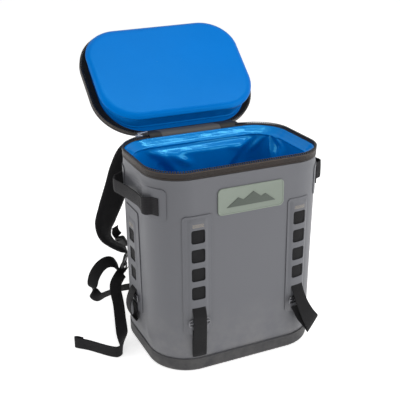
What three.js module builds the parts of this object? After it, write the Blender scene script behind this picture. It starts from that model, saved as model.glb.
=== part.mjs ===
// A soft-sided cooler backpack with its lid laid open, in millimetres and +Z up.
// The origin is the middle of the underside of the base, and the front faces -Y.
import * as THREE from 'three';

// Body: an insulated tub with rounded corners that changes shape from foot to mouth
const HEIGHT = 420;
const MOUTH = { width: 368, depth: 236, radius: 73 };
const FOOT = { width: 353, depth: 258, radius: 80 };
const WALL = 18;
const FLOOR = 22;
const CORNER_STEPS = 7;

// Small gaps that keep neighbouring pieces apart
const GAP = 0.4;
const SEAM_GAP = 0.6;

// Base tray round the foot of the body
const TRAY = { height: 29, sheet: 1.8, floor: 2.2, chamfer: 6 };

// Coated fabric, webbing and bands
const FABRIC = 1.5;
const WEBBING = { width: 27, thickness: 1.2, bedding: 0.9 };
const ZIP = { tape: 14, tapeThickness: 2, toothHeight: 3.4, toothIn: 4, toothOut: 0.5, step: 3 };

// Lid: a dish of the same height as its side wall, swung back past upright about its rear edge
const LID = {
  width: 375, depth: 275, radius: 98, side: 22, hingeGap: 12.6, tape: 10, raise: 3.5, twist: 7 };
const LID_ANGLE = THREE.MathUtils.degToRad(140);
const HINGE = { y: 150, z: 403 };
const PAD = { side: 8, near: 16, far: 10, radius: 80, crownInset: 12, draft: 4, height: 38 };
const HINGE_STRIP = { left: -75, right: 60 };
const GARAGES = [
  { name: 'zip_garage_left', left: -103.6, right: -75.6 },
  { name: 'zip_garage_right', left: 60.6, right: 103.6 },
];
const ZIP_END_X = 104.2;
const SLIDER = { along: -414, length: 16, width: 12, thickness: 5, radius: 4 };
const PULL = {
  length: 24, width: 7, thickness: 1.8, radius: 3, overlap: 3, eye: { in: 6, width: 7, height: 3 } };

// Badge on the front, with its plain figure of three peaks
const BADGE = { along: 8, middle: 349, width: 141, height: 53, radius: 9, thickness: 2 };
const PEAKS = { width: 104, height: 25, thickness: 0.9 };

// Welded patches with windows over a run of webbing, and the loop that each run ends in
const WINDOW = { width: 28, height: 30 };
const PATCH = { bottom: 85, corner: 7, edge: 1.2, raised: WEBBING.bedding + WEBBING.thickness + GAP };
const LASH_POINTS = [
  { name: 'front_left', along: -104, half: 30.5, top: 331, firstWindow: 305,
    pitch: 39, windows: 4, loop: 'flat' },
  { name: 'front_right', along: 115, half: 26, top: 331, firstWindow: 305,
    pitch: 39, windows: 4, loop: 'pulled' },
  { name: 'side_left', along: -288, half: 34, top: 310, firstWindow: 266,
    pitch: 42, windows: 3, loop: 'bowed' },
  { name: 'side_right', along: 288, half: 34, top: 310, firstWindow: 266,
    pitch: 42, windows: 3, loop: 'bowed' },
];
const LASH_BUCKLE = { width: 46, height: 16, thickness: 3, bar: 3.4, drop: 38, bowedDrop: 25 };

// Side handles: a band of webbing sewn to a patch at each end
const HANDLE = { width: 35, thickness: 1.6, bottom: 331, tabEnd: 177 };
const HANDLE_SWING = { left: { rise: 0, lift: 0, flare: 0 }, right: { rise: 10, lift: 16, flare: 4 } };
const HANDLE_PATCH = { from: 162, to: 221, bottom: 322, top: 384 };

// Harness on the back
const YOKE = { halfWidth: 108, bottom: 330, top: 398 };
const SHOULDER_PAD = { width: 62, thickness: 12 };
const LOCK = { width: 36, height: 34, thickness: 5, slotTop: 16, slotBottom: 28, margin: 4.6 };
const ANCHOR = { z: 62, width: 46, height: 44, pastCorner: 22 };
const STERNUM = { width: 20, buckleWidth: 24, buckleLength: 28, buckleThickness: 8 };

const COLOURS = {
  shell: { color: 0x6c6d72, roughness: 0.5 },
  base: { color: 0x3c3d40, roughness: 0.6 },
  blue: { color: 0x0a7fdc, roughness: 0.25 },
  black: { color: 0x1d1c1f, roughness: 0.8 },
  tape: { color: 0x2a2420, roughness: 0.7 },
  metal: { color: 0xb9bcc2, roughness: 0.3, metalness: 1 },
  plastic: { color: 0x17171a, roughness: 0.45 },
  badge: { color: 0x8c968a, roughness: 0.6 },
  figure: { color: 0x4d544c, roughness: 0.6 },
};

const UP = new THREE.Vector3(0, 0, 1);
const cooler = new THREE.Group();

function add(name, geometry, look) {
  const material = new THREE.MeshStandardMaterial({ metalness: 0, ...COLOURS[look] });
  material.name = name;
  const mesh = new THREE.Mesh(geometry, material);
  mesh.name = name;
  cooler.add(mesh);
}

// A closed solid from points and faces, turned so that its faces point outwards
function solid(points, faces) {
  const triangles = faces.flatMap((face) =>
    face.length === 4 ? [[face[0], face[1], face[2]], [face[0], face[2], face[3]]] : [face]);
  const signedVolume = triangles.reduce((sum, [a, b, c]) =>
    sum + points[a].dot(new THREE.Vector3().crossVectors(points[b], points[c])), 0);
  const outward = signedVolume < 0 ? triangles.map(([a, b, c]) => [a, c, b]) : triangles;
  const geometry = new THREE.BufferGeometry().setFromPoints(points);
  geometry.setIndex(outward.flat());
  geometry.computeVertexNormals();
  return geometry;
}

function middleOf(ring) {
  const sum = ring.reduce((total, point) => total.add(point), new THREE.Vector3());
  return sum.divideScalar(ring.length);
}

// A solid through rings of equally many points, capped at its first and last ring
function loft(rings) {
  const count = rings[0].length;
  const last = (rings.length - 1) * count;
  const points = [...rings.flat(), middleOf(rings[0]), middleOf(rings[rings.length - 1])];
  const faces = [];
  for (let i = 0; i < rings.length - 1; i++) {
    for (let j = 0; j < count; j++) {
      const k = (j + 1) % count;
      faces.push([i * count + j, i * count + k, (i + 1) * count + k, (i + 1) * count + j]);
    }
  }
  for (let j = 0; j < count; j++) {
    const k = (j + 1) % count;
    faces.push([last + count, k, j]);
    faces.push([last + count + 1, last + j, last + k]);
  }
  return solid(points, faces);
}

// A slab between two grids of points; cells that are not filled are holes through it
function slab(top, bottom, filled = () => true) {
  const rows = top.length - 1;
  const columns = top[0].length - 1;
  const width = columns + 1;
  const under = (rows + 1) * width;
  const isFilled = (i, j) => i >= 0 && j >= 0 && i < rows && j < columns && filled(i, j);
  const faces = [];
  const wall = (from, to) => faces.push([to, from, under + from, under + to]);
  for (let i = 0; i < rows; i++) {
    for (let j = 0; j < columns; j++) {
      if (!isFilled(i, j)) {
        continue;
      }
      const a = i * width + j;
      const b = a + 1;
      const c = b + width;
      const d = a + width;
      faces.push([a, b, c, d]);
      faces.push([under + a, under + d, under + c, under + b]);
      if (!isFilled(i - 1, j)) wall(a, b);
      if (!isFilled(i, j + 1)) wall(b, c);
      if (!isFilled(i + 1, j)) wall(c, d);
      if (!isFilled(i, j - 1)) wall(d, a);
    }
  }
  return solid([...top.flat(), ...bottom.flat()], faces);
}

// A rounded rectangle's lengths: half its straight front, one corner arc and its straight side
function lengthsOf({ width, depth, radius }) {
  return { front: width / 2 - radius, arc: radius * Math.PI / 2, side: depth - 2 * radius };
}

// The place at a distance along a rounded rectangle from the middle of its front, and the way out
function alongOutline(section, distance) {
  const { front, arc, side } = lengthsOf(section);
  const hand = distance < 0 ? -1 : 1;
  const s = Math.abs(distance);
  const cornerX = section.width / 2 - section.radius;
  const cornerY = section.depth / 2 - section.radius;
  let x = s;
  let y = -section.depth / 2;
  let out = [0, -1];
  if (s > front && s <= front + arc) {
    const turn = (s - front) / section.radius;
    out = [Math.sin(turn), -Math.cos(turn)];
    x = cornerX + section.radius * out[0];
    y = -cornerY + section.radius * out[1];
  } else if (s > front + arc && s <= front + arc + side) {
    out = [1, 0];
    x = section.width / 2;
    y = -cornerY + s - front - arc;
  } else if (s > front + arc + side && s <= front + 2 * arc + side) {
    const turn = (s - front - arc - side) / section.radius;
    out = [Math.cos(turn), Math.sin(turn)];
    x = cornerX + section.radius * out[0];
    y = cornerY + section.radius * out[1];
  } else if (s > front + 2 * arc + side) {
    out = [0, 1];
    x = cornerX - (s - front - 2 * arc - side);
    y = section.depth / 2;
  }
  return { x: hand * x, y, out: [hand * out[0], out[1]] };
}

// Distances from the front's middle where an outline bends, finely spaced round its corners
function bends(section) {
  const { front, arc, side } = lengthsOf(section);
  const half = [];
  for (const start of [front, front + arc + side]) {
    for (let i = 0; i <= CORNER_STEPS; i++) {
      half.push(start + arc * i / CORNER_STEPS);
    }
  }
  return [...half.map((s) => -s).reverse(), ...half];
}

function grown(section, offset) {
  return {
    width: section.width + 2 * offset,
    depth: section.depth + 2 * offset,
    radius: section.radius + offset,
  };
}

function bodySection(z) {
  const t = z / HEIGHT;
  return {
    width: THREE.MathUtils.lerp(FOOT.width, MOUTH.width, t),
    depth: THREE.MathUtils.lerp(FOOT.depth, MOUTH.depth, t),
    radius: THREE.MathUtils.lerp(FOOT.radius, MOUTH.radius, t),
  };
}

// A point on the body's wall: distance along it from the front's middle, height and offset outwards
function onBody(along, z, offset = 0) {
  const { x, y, out } = alongOutline(bodySection(z), along);
  return new THREE.Vector3(x + out[0] * offset, y + out[1] * offset, z);
}

function wayOut(along, z) {
  const { out } = alongOutline(bodySection(z), along);
  return new THREE.Vector3(out[0], out[1], 0);
}

// Lid frame: x across, u from the hinge to the far edge, n out of the pad's face.
// The open lid hangs with a slight twist, its far right corner higher than its far left one.
const LID_OUT = new THREE.Vector3(0, -Math.cos(LID_ANGLE), Math.sin(LID_ANGLE));
const LID_FACE = new THREE.Vector3(0, -Math.sin(LID_ANGLE), -Math.cos(LID_ANGLE));
const LID_MIDDLE = LID.hingeGap + LID.depth / 2;

function onLid(x, u, n) {
  const lift = (LID.raise + LID.twist * x / (LID.width / 2)) * u / (LID.hingeGap + LID.depth);
  return new THREE.Vector3(x, HINGE.y, HINGE.z)
    .addScaledVector(LID_OUT, u).addScaledVector(LID_FACE, n + lift);
}

function roundLid(along, n, offset) {
  const { x, y, out } = alongOutline(LID, along);
  return onLid(x + out[0] * offset, LID_MIDDLE - y - out[1] * offset, n);
}

function bodyRing(z, offset, extra = []) {
  const section = grown(bodySection(z), offset);
  return ringStations(section, extra).map((s) => {
    const { x, y } = alongOutline(section, s);
    return new THREE.Vector3(x, y, z);
  });
}

function lidRing(n, inset) {
  const section = grown(LID, -inset);
  return ringStations(section).map((s) => {
    const { x, y } = alongOutline(section, s);
    return onLid(x, LID_MIDDLE + y, n);
  });
}

// The bends of a closed outline, with its straight stretches cut into equal steps where asked
function ringStations(section, [frontSteps, sideSteps] = []) {
  const stations = bends(section);
  const { front, arc, side } = lengthsOf(section);
  const between = (from, length, steps) =>
    Array.from({ length: (steps ?? 1) - 1 }, (_, i) => from + length * (i + 1) / steps);
  const back = front + 2 * arc + side;
  stations.push(...between(-front, 2 * front, frontSteps));
  stations.push(...between(back, 2 * front, frontSteps));
  for (const hand of [-1, 1]) {
    stations.push(...between(front + arc, side, sideSteps).map((s) => hand * s));
  }
  return stations.sort((a, b) => a - b);
}

// Base tray, rigid and moulded, that the body stands in
function buildBaseTray() {
  const { height, sheet, floor, chamfer } = TRAY;
  const rings = [
    { z: 0, offset: -chamfer },
    { z: 2, offset: sheet + GAP - 2.5 },
    { z: chamfer + 1, offset: sheet + GAP },
    { z: height, offset: sheet + GAP },
    { z: height, offset: GAP },
    { z: chamfer + floor, offset: GAP },
    { z: floor, offset: GAP - chamfer },
  ];
  add('base_tray', loft(rings.map(({ z, offset }) => bodyRing(z, offset))), 'base');
}

// Shell: the foam-filled wall between the grey skin and the liner
const ZIP_BOTTOM = HEIGHT - ZIP.toothHeight - GAP - ZIP.tape;
function buildShell() {
  const rise = TRAY.floor + GAP;
  const rings = [
    { z: rise, offset: -TRAY.chamfer },
    { z: rise + TRAY.chamfer, offset: 0 },
    { z: ZIP_BOTTOM - GAP, offset: 0 },
    { z: ZIP_BOTTOM - GAP, offset: -ZIP.step },
    { z: ZIP_BOTTOM + 5, offset: -ZIP.step },
    { z: ZIP_BOTTOM - 15, offset: -WALL },
    { z: FLOOR + 14, offset: -WALL },
    { z: FLOOR, offset: -WALL - 14 },
  ];
  add('shell', loft(rings.map(({ z, offset }) => bodyRing(z, offset))), 'shell');
}

// Liner: a loose welded tub whose long wall and ends are drawn into folds
const LINER_FOLDS = [
  { from: -500, to: -430, top: 396, bottom: 250, depth: 9 },
  { from: -400, to: -250, top: 392, bottom: 200, depth: 12 },
  { from: -90, to: 60, top: 385, bottom: 240, depth: 10 },
  { from: 250, to: 380, top: 396, bottom: 180, depth: 12 },
  { from: 400, to: 480, top: 398, bottom: 260, depth: 8 },
];
const LINER_STEPS = [4, 3];
function foldDepth(along, z) {
  const lobe = (value, from, to) => {
    const t = (value - from) / (to - from);
    return t > 0 && t < 1 ? Math.sin(Math.PI * t) ** 2 : 0;
  };
  return LINER_FOLDS.reduce((sum, fold) =>
    sum + fold.depth * lobe(along, fold.from, fold.to) * lobe(z, fold.bottom, fold.top), 0);
}
function buildLiner() {
  const outer = [
    { z: FLOOR + GAP, offset: -WALL - 14.5 },
    { z: FLOOR + 15, offset: -WALL - SEAM_GAP },
    { z: 200, offset: -WALL - SEAM_GAP },
    { z: 300, offset: -WALL - SEAM_GAP },
    { z: 350, offset: -WALL - SEAM_GAP },
    { z: ZIP_BOTTOM - 14, offset: -WALL - SEAM_GAP },
    { z: ZIP_BOTTOM + 4, offset: -9 },
    { z: ZIP_BOTTOM + 11, offset: -ZIP.step - GAP },
  ];
  const ringAt = (z, offset) => {
    const section = grown(bodySection(z), offset);
    return ringStations(section, LINER_STEPS).map((along) => {
      const { x, y, out } = alongOutline(section, along);
      const depth = foldDepth(along, z);
      return new THREE.Vector3(x - out[0] * depth, y - out[1] * depth, z);
    });
  };
  const outside = outer.map(({ z, offset }) => ringAt(z, offset));
  const inside = outer.map(({ z, offset }, i) => ringAt(z + (i === 0 ? FABRIC : 0), offset - FABRIC));
  add('liner', loft([...outside, ...inside.reverse()]), 'blue');
}

// Zip: a tape and a row of teeth on the body's mouth and on the lid, open across the hinge
function zipBand(name, place, section, profile, look) {
  const { front, arc, side } = lengthsOf(section);
  const end = front + 2 * arc + side + (front - ZIP_END_X);
  const stations = [-end, ...bends(section).filter((s) => Math.abs(s) < end - 1), end];
  const rings = stations.map((s) => profile.map(({ offset, rise }) => place(s, rise, offset)));
  add(name, loft(rings), look);
}
function zipProfile(from, to, inner, outer) {
  return [
    { offset: outer, rise: from },
    { offset: outer, rise: to },
    { offset: inner, rise: to },
    { offset: inner, rise: from },
  ];
}
function buildZips() {
  const tape = ZIP.tapeThickness;
  const mouth = HEIGHT - ZIP.toothHeight;
  const onMouth = (s, rise, offset) => onBody(s, rise, offset);
  const onLidEdge = (s, rise, offset) => roundLid(s, rise, offset);
  const tapeTop = mouth - GAP;
  zipBand('zip_tape_body', onMouth, bodySection(HEIGHT), zipProfile(ZIP_BOTTOM, tapeTop, -tape, 0), 'tape');
  zipBand('zip_teeth_body', onMouth, bodySection(HEIGHT),
    zipProfile(mouth, HEIGHT, -ZIP.toothIn, ZIP.toothOut), 'black');
  zipBand('zip_tape_lid', onLidEdge, LID,
    zipProfile(LID_TAPE_TOP - LID.tape, LID_TAPE_TOP, -tape, 0), 'tape');
  zipBand('zip_teeth_lid', onLidEdge, LID,
    zipProfile(-ZIP.toothHeight / 2, ZIP.toothHeight / 2, -ZIP.toothIn, ZIP.toothOut), 'black');
}

// Lid: foam-filled grey shell, blue facing and the raised cushion that plugs the mouth
const LID_TAPE_TOP = -ZIP.toothHeight / 2 - GAP;
const LID_STEP = LID_TAPE_TOP - LID.tape - GAP;
function buildLid() {
  const shell = [
    { n: -LID.side, inset: 30 },
    { n: -LID.side + 1, inset: 16 },
    { n: -LID.side + 3.5, inset: 8 },
    { n: -LID.side + 8, inset: 2 },
    { n: LID_STEP, inset: 0 },
    { n: LID_STEP, inset: ZIP.step },
    { n: -6, inset: ZIP.step },
  ];
  add('lid_shell', loft(shell.map(({ n, inset }) => lidRing(n, inset))), 'shell');
  const facing = [
    { n: -6 + GAP, inset: ZIP.step + GAP },
    { n: -6 + GAP + FABRIC, inset: ZIP.step + GAP },
  ];
  add('lid_facing', loft(facing.map(({ n, inset }) => lidRing(n, inset))), 'blue');
  const foot = -6 + FABRIC + 2 * GAP;
  const top = foot + PAD.height;
  const cushion = [
    { n: foot, inset: 0 },
    { n: top - 13, inset: PAD.draft },
    { n: top - 6, inset: PAD.draft + PAD.crownInset * 0.2 },
    { n: top - 1.8, inset: PAD.draft + PAD.crownInset * 0.55 },
    { n: top, inset: PAD.draft + PAD.crownInset },
    { n: top + 1, inset: PAD.draft + 50 },
  ];
  const padOutline = {
    width: LID.width - 2 * PAD.side, depth: LID.depth - PAD.near - PAD.far, radius: PAD.radius };
  const padMiddle = LID_MIDDLE + (PAD.near - PAD.far) / 2;
  const padRing = (n, inset) => {
    const section = grown(padOutline, -inset);
    return ringStations(section).map((along) => {
      const { x, y } = alongOutline(section, along);
      return onLid(x, padMiddle + y, n);
    });
  };
  add('lid_cushion', loft(cushion.map(({ n, inset }) => padRing(n, inset))), 'blue');
}

// Hinge strip and the zip garages at its ends: one path from the mouth's back over to the lid
function buildHinge() {
  const lidEdge = (n, inset) => onLid(0, LID.hingeGap + inset, n);
  const back = bodySection(HEIGHT).depth / 2;
  const inset = 1.5;
  const path = [
    new THREE.Vector3(0, back + 0.6 - inset, ZIP_BOTTOM + 1),
    new THREE.Vector3(0, back - inset, HEIGHT - 5),
    new THREE.Vector3(0, back + 5, HEIGHT - 1),
    new THREE.Vector3(0, back + 24, HEIGHT - 3.5),
    new THREE.Vector3(0, HINGE.y + 3, HEIGHT - 5.5),
    lidEdge(3.2, inset - 1.6),
    lidEdge(-2.5, inset),
    lidEdge(LID_STEP + GAP, inset),
  ];
  const curve = new THREE.CatmullRomCurve3(path, false, 'centripetal');
  const strip = (left, right, thickness, lift) => {
    const top = [];
    const bottom = [];
    for (let i = 0; i <= 12; i++) {
      const point = curve.getPointAt(i / 12);
      const along = curve.getTangentAt(i / 12);
      const normal = new THREE.Vector3(0, -along.z, along.y);
      const at = (x, rise) => point.clone().setX(x).addScaledVector(normal, rise);
      const rise = thickness / 2 + lift * Math.sin(Math.PI * i / 12) ** 2;
      top.push([at(left, rise), at(right, rise)]);
      bottom.push([at(left, -thickness / 2), at(right, -thickness / 2)]);
    }
    return slab(top, bottom);
  };
  add('hinge_strip', strip(HINGE_STRIP.left, HINGE_STRIP.right, FABRIC, 0), 'shell');
  for (const garage of GARAGES) {
    add(garage.name, strip(garage.left, garage.right, FABRIC, 1.6), 'black');
  }
}

// Plate with rounded corners and straight slots, made flat in x and y and thick in z
function plate({ width, height, radius, thickness, slots = [] }) {
  const shape = new THREE.Shape();
  const corners = [[1, -1], [1, 1], [-1, 1], [-1, -1]];
  corners.forEach(([x, y], i) => {
    const start = (i - 1) * Math.PI / 2;
    shape.absarc(x * (width / 2 - radius), y * (height / 2 - radius), radius, start, start + Math.PI / 2);
  });
  for (const slot of slots) {
    const middle = slot.x ?? 0;
    shape.holes.push(new THREE.Path(corners.map(([x, y]) =>
      new THREE.Vector2(middle + x * slot.width / 2, slot.y + y * slot.height / 2))));
  }
  return new THREE.ExtrudeGeometry(shape, { depth: thickness, bevelEnabled: false, curveSegments: 2 });
}

// Turns a flat plate so that its x, y and z run along three given directions from a point
function placed(geometry, origin, xAxis, yAxis) {
  const zAxis = new THREE.Vector3().crossVectors(xAxis, yAxis).normalize();
  const matrix = new THREE.Matrix4().makeBasis(xAxis, yAxis, zAxis).setPosition(origin);
  return geometry.applyMatrix4(matrix);
}

// The directions of a plate that lies on the wall: along it, and up its slope
function wallAxes(along, z) {
  const up = onBody(along, z + 1).sub(onBody(along, z - 1)).normalize();
  const out = wayOut(along, z);
  const across = new THREE.Vector3().crossVectors(up, out).normalize();
  return { across, up };
}

function buildSlider() {
  const at = (along, rise) => onBody(along, HEIGHT, -ZIP.tapeThickness).setZ(HEIGHT + rise);
  const ahead = at(SLIDER.along - 1, 0).sub(at(SLIDER.along + 1, 0)).normalize();
  const inward = new THREE.Vector3().crossVectors(UP, ahead);
  const body = plate({ ...SLIDER, width: SLIDER.length, height: SLIDER.width });
  add('zip_slider', placed(body, at(SLIDER.along, GAP), ahead, inward), 'metal');
  const eye = { x: PULL.length / 2 - PULL.eye.in, y: 0, width: PULL.eye.width, height: PULL.eye.height };
  const tab = plate({ ...PULL, width: PULL.length, height: PULL.width, slots: [eye] });
  const tabMiddle = at(SLIDER.along, SLIDER.thickness + 2 * GAP)
    .addScaledVector(ahead, PULL.length / 2 - PULL.overlap);
  add('zip_pull', placed(tab, tabMiddle, ahead, inward), 'metal');
}

function buildBadge() {
  const { across, up } = wallAxes(BADGE.along, BADGE.middle);
  const body = plate(BADGE);
  add('badge', placed(body, onBody(BADGE.along, BADGE.middle, GAP), across, up), 'badge');
  const corners = [[-0.5, 0], [-0.27, 0.7], [-0.16, 0.45], [0.04, 1], [0.2, 0.5], [0.29, 0.66], [0.5, 0]];
  const figure = new THREE.Shape(corners.map(([x, y]) =>
    new THREE.Vector2(x * PEAKS.width, (y - 0.5) * PEAKS.height)));
  const relief = new THREE.ExtrudeGeometry(figure, { depth: PEAKS.thickness, bevelEnabled: false });
  const face = onBody(BADGE.along, BADGE.middle, GAP + BADGE.thickness + 0.3);
  add('badge_figure', placed(relief, face, across, up), 'figure');
}

// Welded patch with windows: its rows of window edges, with rounded corners at both ends
function buildPatch(point) {
  const { corner, edge, raised } = PATCH;
  const half = WINDOW.width / 2;
  const windows = Array.from({ length: point.windows + 1 }, (_, i) => point.firstWindow - i * point.pitch);
  const heights = [
    { z: point.top, half: point.half - corner },
    { z: point.top - 2, half: point.half - 2 },
    { z: point.top - corner, half: point.half },
    ...windows.flatMap((top) => [
      { z: top, half: point.half },
      { z: top - WINDOW.height, half: point.half, window: true },
    ]),
    { z: PATCH.bottom + corner, half: point.half },
    { z: PATCH.bottom + 2, half: point.half - 2 },
    { z: PATCH.bottom, half: point.half - corner },
  ];
  const columns = [
    { inner: -half, margin: 1 },
    { inner: -half, margin: 0.5 },
    ...[-1, -0.5, 0, 0.5, 1].map((share) => ({ inner: share * half, margin: 0 })),
    { inner: half, margin: 0.5 },
    { inner: half, margin: 1 },
  ];
  const grid = (lift) => heights.map((row) => columns.map(({ inner, margin }) => {
    const u = inner + Math.sign(inner) * margin * (row.half - half);
    return onBody(point.along + u, row.z, (margin === 0 ? raised : GAP) + lift);
  }));
  const filled = (i, j) => !(heights[i + 1].window && j >= 2 && j <= 5);
  add(`patch_${point.name}`, slab(grid(edge), grid(0), filled), 'shell');
}

// Lash strap: a run of webbing behind the windows that comes out below them and turns back up
const LOOPS = {
  flat: [
    { drop: 24, offset: 8.6, shift: 0, skew: 0, free: 0.8 },
    { drop: 34, offset: 9, shift: 0, skew: 0, free: 1 },
    { drop: 52, offset: 9, shift: 0, skew: 0, free: 1 },
    { drop: 80, offset: 7.4, shift: 0, skew: 0, free: 0 },
    { drop: 107, offset: 6, shift: 0, skew: 0, free: 0 },
    { drop: 114, offset: 4.2, shift: 0, skew: 0, free: 0 },
    { drop: 107, offset: 2.4, shift: 0, skew: 0, free: 0 },
    { drop: 76, offset: 2.4, shift: 0, skew: 0, free: 0 },
    { drop: 66, offset: 5.4, shift: 0, skew: 0, free: 0 },
    { drop: 54, offset: 5.6, shift: 0, skew: 0, free: 0 },
  ],
  pulled: [
    { drop: 22, offset: 10, shift: 0, skew: 0, free: 1 },
    { drop: 44, offset: 19, shift: 3, skew: 3, free: 1 },
    { drop: 68, offset: 27, shift: 11, skew: 8, free: 1 },
    { drop: 90, offset: 30, shift: 23, skew: 14, free: 1 },
    { drop: 97, offset: 27.5, shift: 26, skew: 15, free: 1 },
    { drop: 91, offset: 23, shift: 22, skew: 12, free: 1 },
    { drop: 74, offset: 14, shift: 8, skew: 6, free: 1 },
    { drop: 62, offset: 8, shift: 3, skew: 2, free: 1 },
    { drop: 54, offset: 6, shift: 0, skew: 0, free: 0.5 },
  ],
  bowed: [
    { drop: 12, offset: 8, shift: 0, skew: 0, free: 1 },
    { drop: 27, offset: 15, shift: 0, skew: 0, free: 1 },
    { drop: 44, offset: 19, shift: 0, skew: 0, free: 1 },
    { drop: 62, offset: 17, shift: 0, skew: 0, free: 1 },
    { drop: 75, offset: 11, shift: 0, skew: 0, free: 1 },
    { drop: 79, offset: 7.5, shift: 0, skew: 0, free: 1 },
    { drop: 75, offset: 4.6, shift: 0, skew: 0, free: 1 },
    { drop: 60, offset: 4.4, shift: 0, skew: 0, free: 0.5 },
    { drop: 52, offset: 5.6, shift: 0, skew: 0, free: 0 },
    { drop: 40, offset: 5.6, shift: 0, skew: 0, free: 0 },
  ],
};
function exitHeight(point) {
  return point.firstWindow - point.windows * point.pitch;
}
function buildLash(point) {
  const exit = exitHeight(point);
  const half = WEBBING.width / 2;
  const level = WEBBING.bedding + WEBBING.thickness / 2;
  const hand = Math.sign(point.along);
  const straight = (z) => ({ z, offset: level, shift: 0, skew: 0, free: 0 });
  const loop = LOOPS[point.loop].map(({ drop, ...rest }) => ({ z: exit - drop, ...rest }));
  const path = [straight(point.firstWindow + 13), straight(exit + 40), straight(exit + 2),
    { ...straight(exit - 7), offset: level + 1.6 }, ...loop];
  const side = (lift) => path.map((row, i) => {
    const before = path[Math.max(i - 1, 0)];
    const after = path[Math.min(i + 1, path.length - 1)];
    const run = Math.hypot(after.z - before.z, after.offset - before.offset);
    const z = row.z + (after.offset - before.offset) / run * lift;
    const offset = row.offset - (after.z - before.z) / run * lift;
    const { across } = wallAxes(point.along, z);
    return [-half, 0, half].map((u) => {
      const bent = onBody(point.along + u, z, offset);
      const flat = onBody(point.along, z, offset).addScaledVector(across, u + row.shift * hand);
      flat.z += row.skew * u / half * hand;
      return bent.lerp(flat, row.free);
    });
  });
  add(`lash_strap_${point.name}`, slab(side(WEBBING.thickness / 2), side(-WEBBING.thickness / 2)), 'black');
}

// Slide buckle that holds the loop's end against the patch, seen at both sides of the webbing
function buildLashBuckle(point) {
  const { width, height, thickness, bar, drop, bowedDrop } = LASH_BUCKLE;
  const slotHeight = (height - 3 * bar) / 2;
  const slots = [-1, 1].map((side) => ({
    y: side * (slotHeight + bar) / 2, width: width - 2 * bar, height: slotHeight}));
  const body = plate({ width, height, radius: 4, thickness, slots });
  const z = exitHeight(point) - (point.loop === 'bowed' ? bowedDrop : drop);
  const { across, up } = wallAxes(point.along, z);
  const origin = onBody(point.along, z, PATCH.raised + PATCH.edge + GAP);
  add(`lash_buckle_${point.name}`, placed(body, origin, across, up), 'metal');
}

// Flat patch with rounded corners that follows the wall
function wallPatch(name, from, to, bottom, top, look = 'shell') {
  const corner = PATCH.corner;
  const heights = [
    { z: bottom, inset: corner },
    { z: bottom + corner, inset: 0 },
    { z: top - corner, inset: 0 },
    { z: top, inset: corner },
  ];
  const columns = 8;
  const inwards = Math.sign(to - from);
  const grid = (offset) => heights.map(({ z, inset }) =>
    Array.from({ length: columns + 1 }, (_, i) => {
      const along = THREE.MathUtils.lerp(from + inwards * inset, to - inwards * inset, i / columns);
      return onBody(along, z, offset);
    }));
  add(name, slab(grid(GAP + FABRIC), grid(GAP)), look);
}

// A band along a path: rows give its middle and the way across it, smoothed between rows
function ribbon(rows, { width, thickness, steps, profile = [[-1, 1], [1, 1]] }) {
  const middle = new THREE.CatmullRomCurve3(rows.map((row) => row.at), false, 'centripetal');
  const lengths = rows.map((_, i) => i / (rows.length - 1));
  const acrossAt = (t) => {
    const i = Math.min(Math.floor(t * (rows.length - 1)), rows.length - 2);
    const mix = (t - lengths[i]) * (rows.length - 1);
    return rows[i].across.clone().lerp(rows[i + 1].across, mix).normalize();
  };
  const top = [];
  const bottom = [];
  for (let i = 0; i <= steps; i++) {
    const t = i / steps;
    const point = middle.getPoint(t);
    const tangent = middle.getTangent(t);
    const across = acrossAt(t);
    across.addScaledVector(tangent, -across.dot(tangent)).normalize();
    const normal = new THREE.Vector3().crossVectors(tangent, across);
    const edge = (sign) => profile.map(([u, share]) => point.clone()
      .addScaledVector(across, u * width / 2)
      .addScaledVector(normal, sign * share * thickness / 2));
    top.push(edge(1));
    bottom.push(edge(-1));
  }
  return slab(top, bottom);
}

// A row of a ribbon's table: its middle, and its way across by compass angle and tilt in degrees
function row(side, x, y, z, yaw, tilt = 0) {
  const turn = THREE.MathUtils.degToRad(yaw);
  const lean = THREE.MathUtils.degToRad(tilt);
  const across = new THREE.Vector3(
    -side * Math.cos(turn) * Math.cos(lean), Math.sin(turn) * Math.cos(lean), Math.sin(lean));
  return { at: new THREE.Vector3(-side * x, y, z), across };
}

// Side handle: sewn down near the front corner, standing off the side and sewn down near the rear
const HANDLE_PATH = [
  { along: 0, offset: 3.2, narrow: 0 },
  { along: 14, offset: 3.2, narrow: 0 },
  { along: 18, offset: 7, narrow: 0 },
  { along: 22, offset: 12, narrow: 0 },
  { along: 28, offset: 13.5, narrow: 1 },
  { along: 34, offset: 10.5, narrow: 2 },
  { along: 44, offset: 8, narrow: 4 },
  { along: 72, offset: 9, narrow: 4 },
  { along: 102, offset: 13, narrow: 4 },
  { along: 128, offset: 19, narrow: 4 },
  { along: 145, offset: 22, narrow: 4 },
  { along: 157, offset: 17, narrow: 2 },
  { along: 163, offset: 6.5, narrow: 0 },
  { along: 172, offset: 3.2, narrow: 0 },
  { along: 186, offset: 3.2, narrow: 0 },
];
function buildHandle(name, hand, { rise, lift, flare }) {
  const side = (turn) => HANDLE_PATH.map((step, i) => {
    const before = HANDLE_PATH[Math.max(i - 1, 0)];
    const after = HANDLE_PATH[Math.min(i + 1, HANDLE_PATH.length - 1)];
    const run = Math.hypot(after.along - before.along, after.offset - before.offset);
    const along = step.along - (after.offset - before.offset) / run * turn * HANDLE.thickness / 2;
    const offset = step.offset + (after.along - before.along) / run * turn * HANDLE.thickness / 2;
    const middle = Math.sin(Math.PI * step.along / HANDLE_PATH[HANDLE_PATH.length - 1].along);
    return [[step.narrow, 1], [HANDLE.width - step.narrow, -1]].map(([edge, way]) =>
      onBody(hand * (HANDLE.tabEnd + along), HANDLE.bottom + rise + edge + lift * middle,
        offset + way * flare * middle ** 2));
  });
  add(name, slab(side(1), side(-1)), 'black');
}

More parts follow.
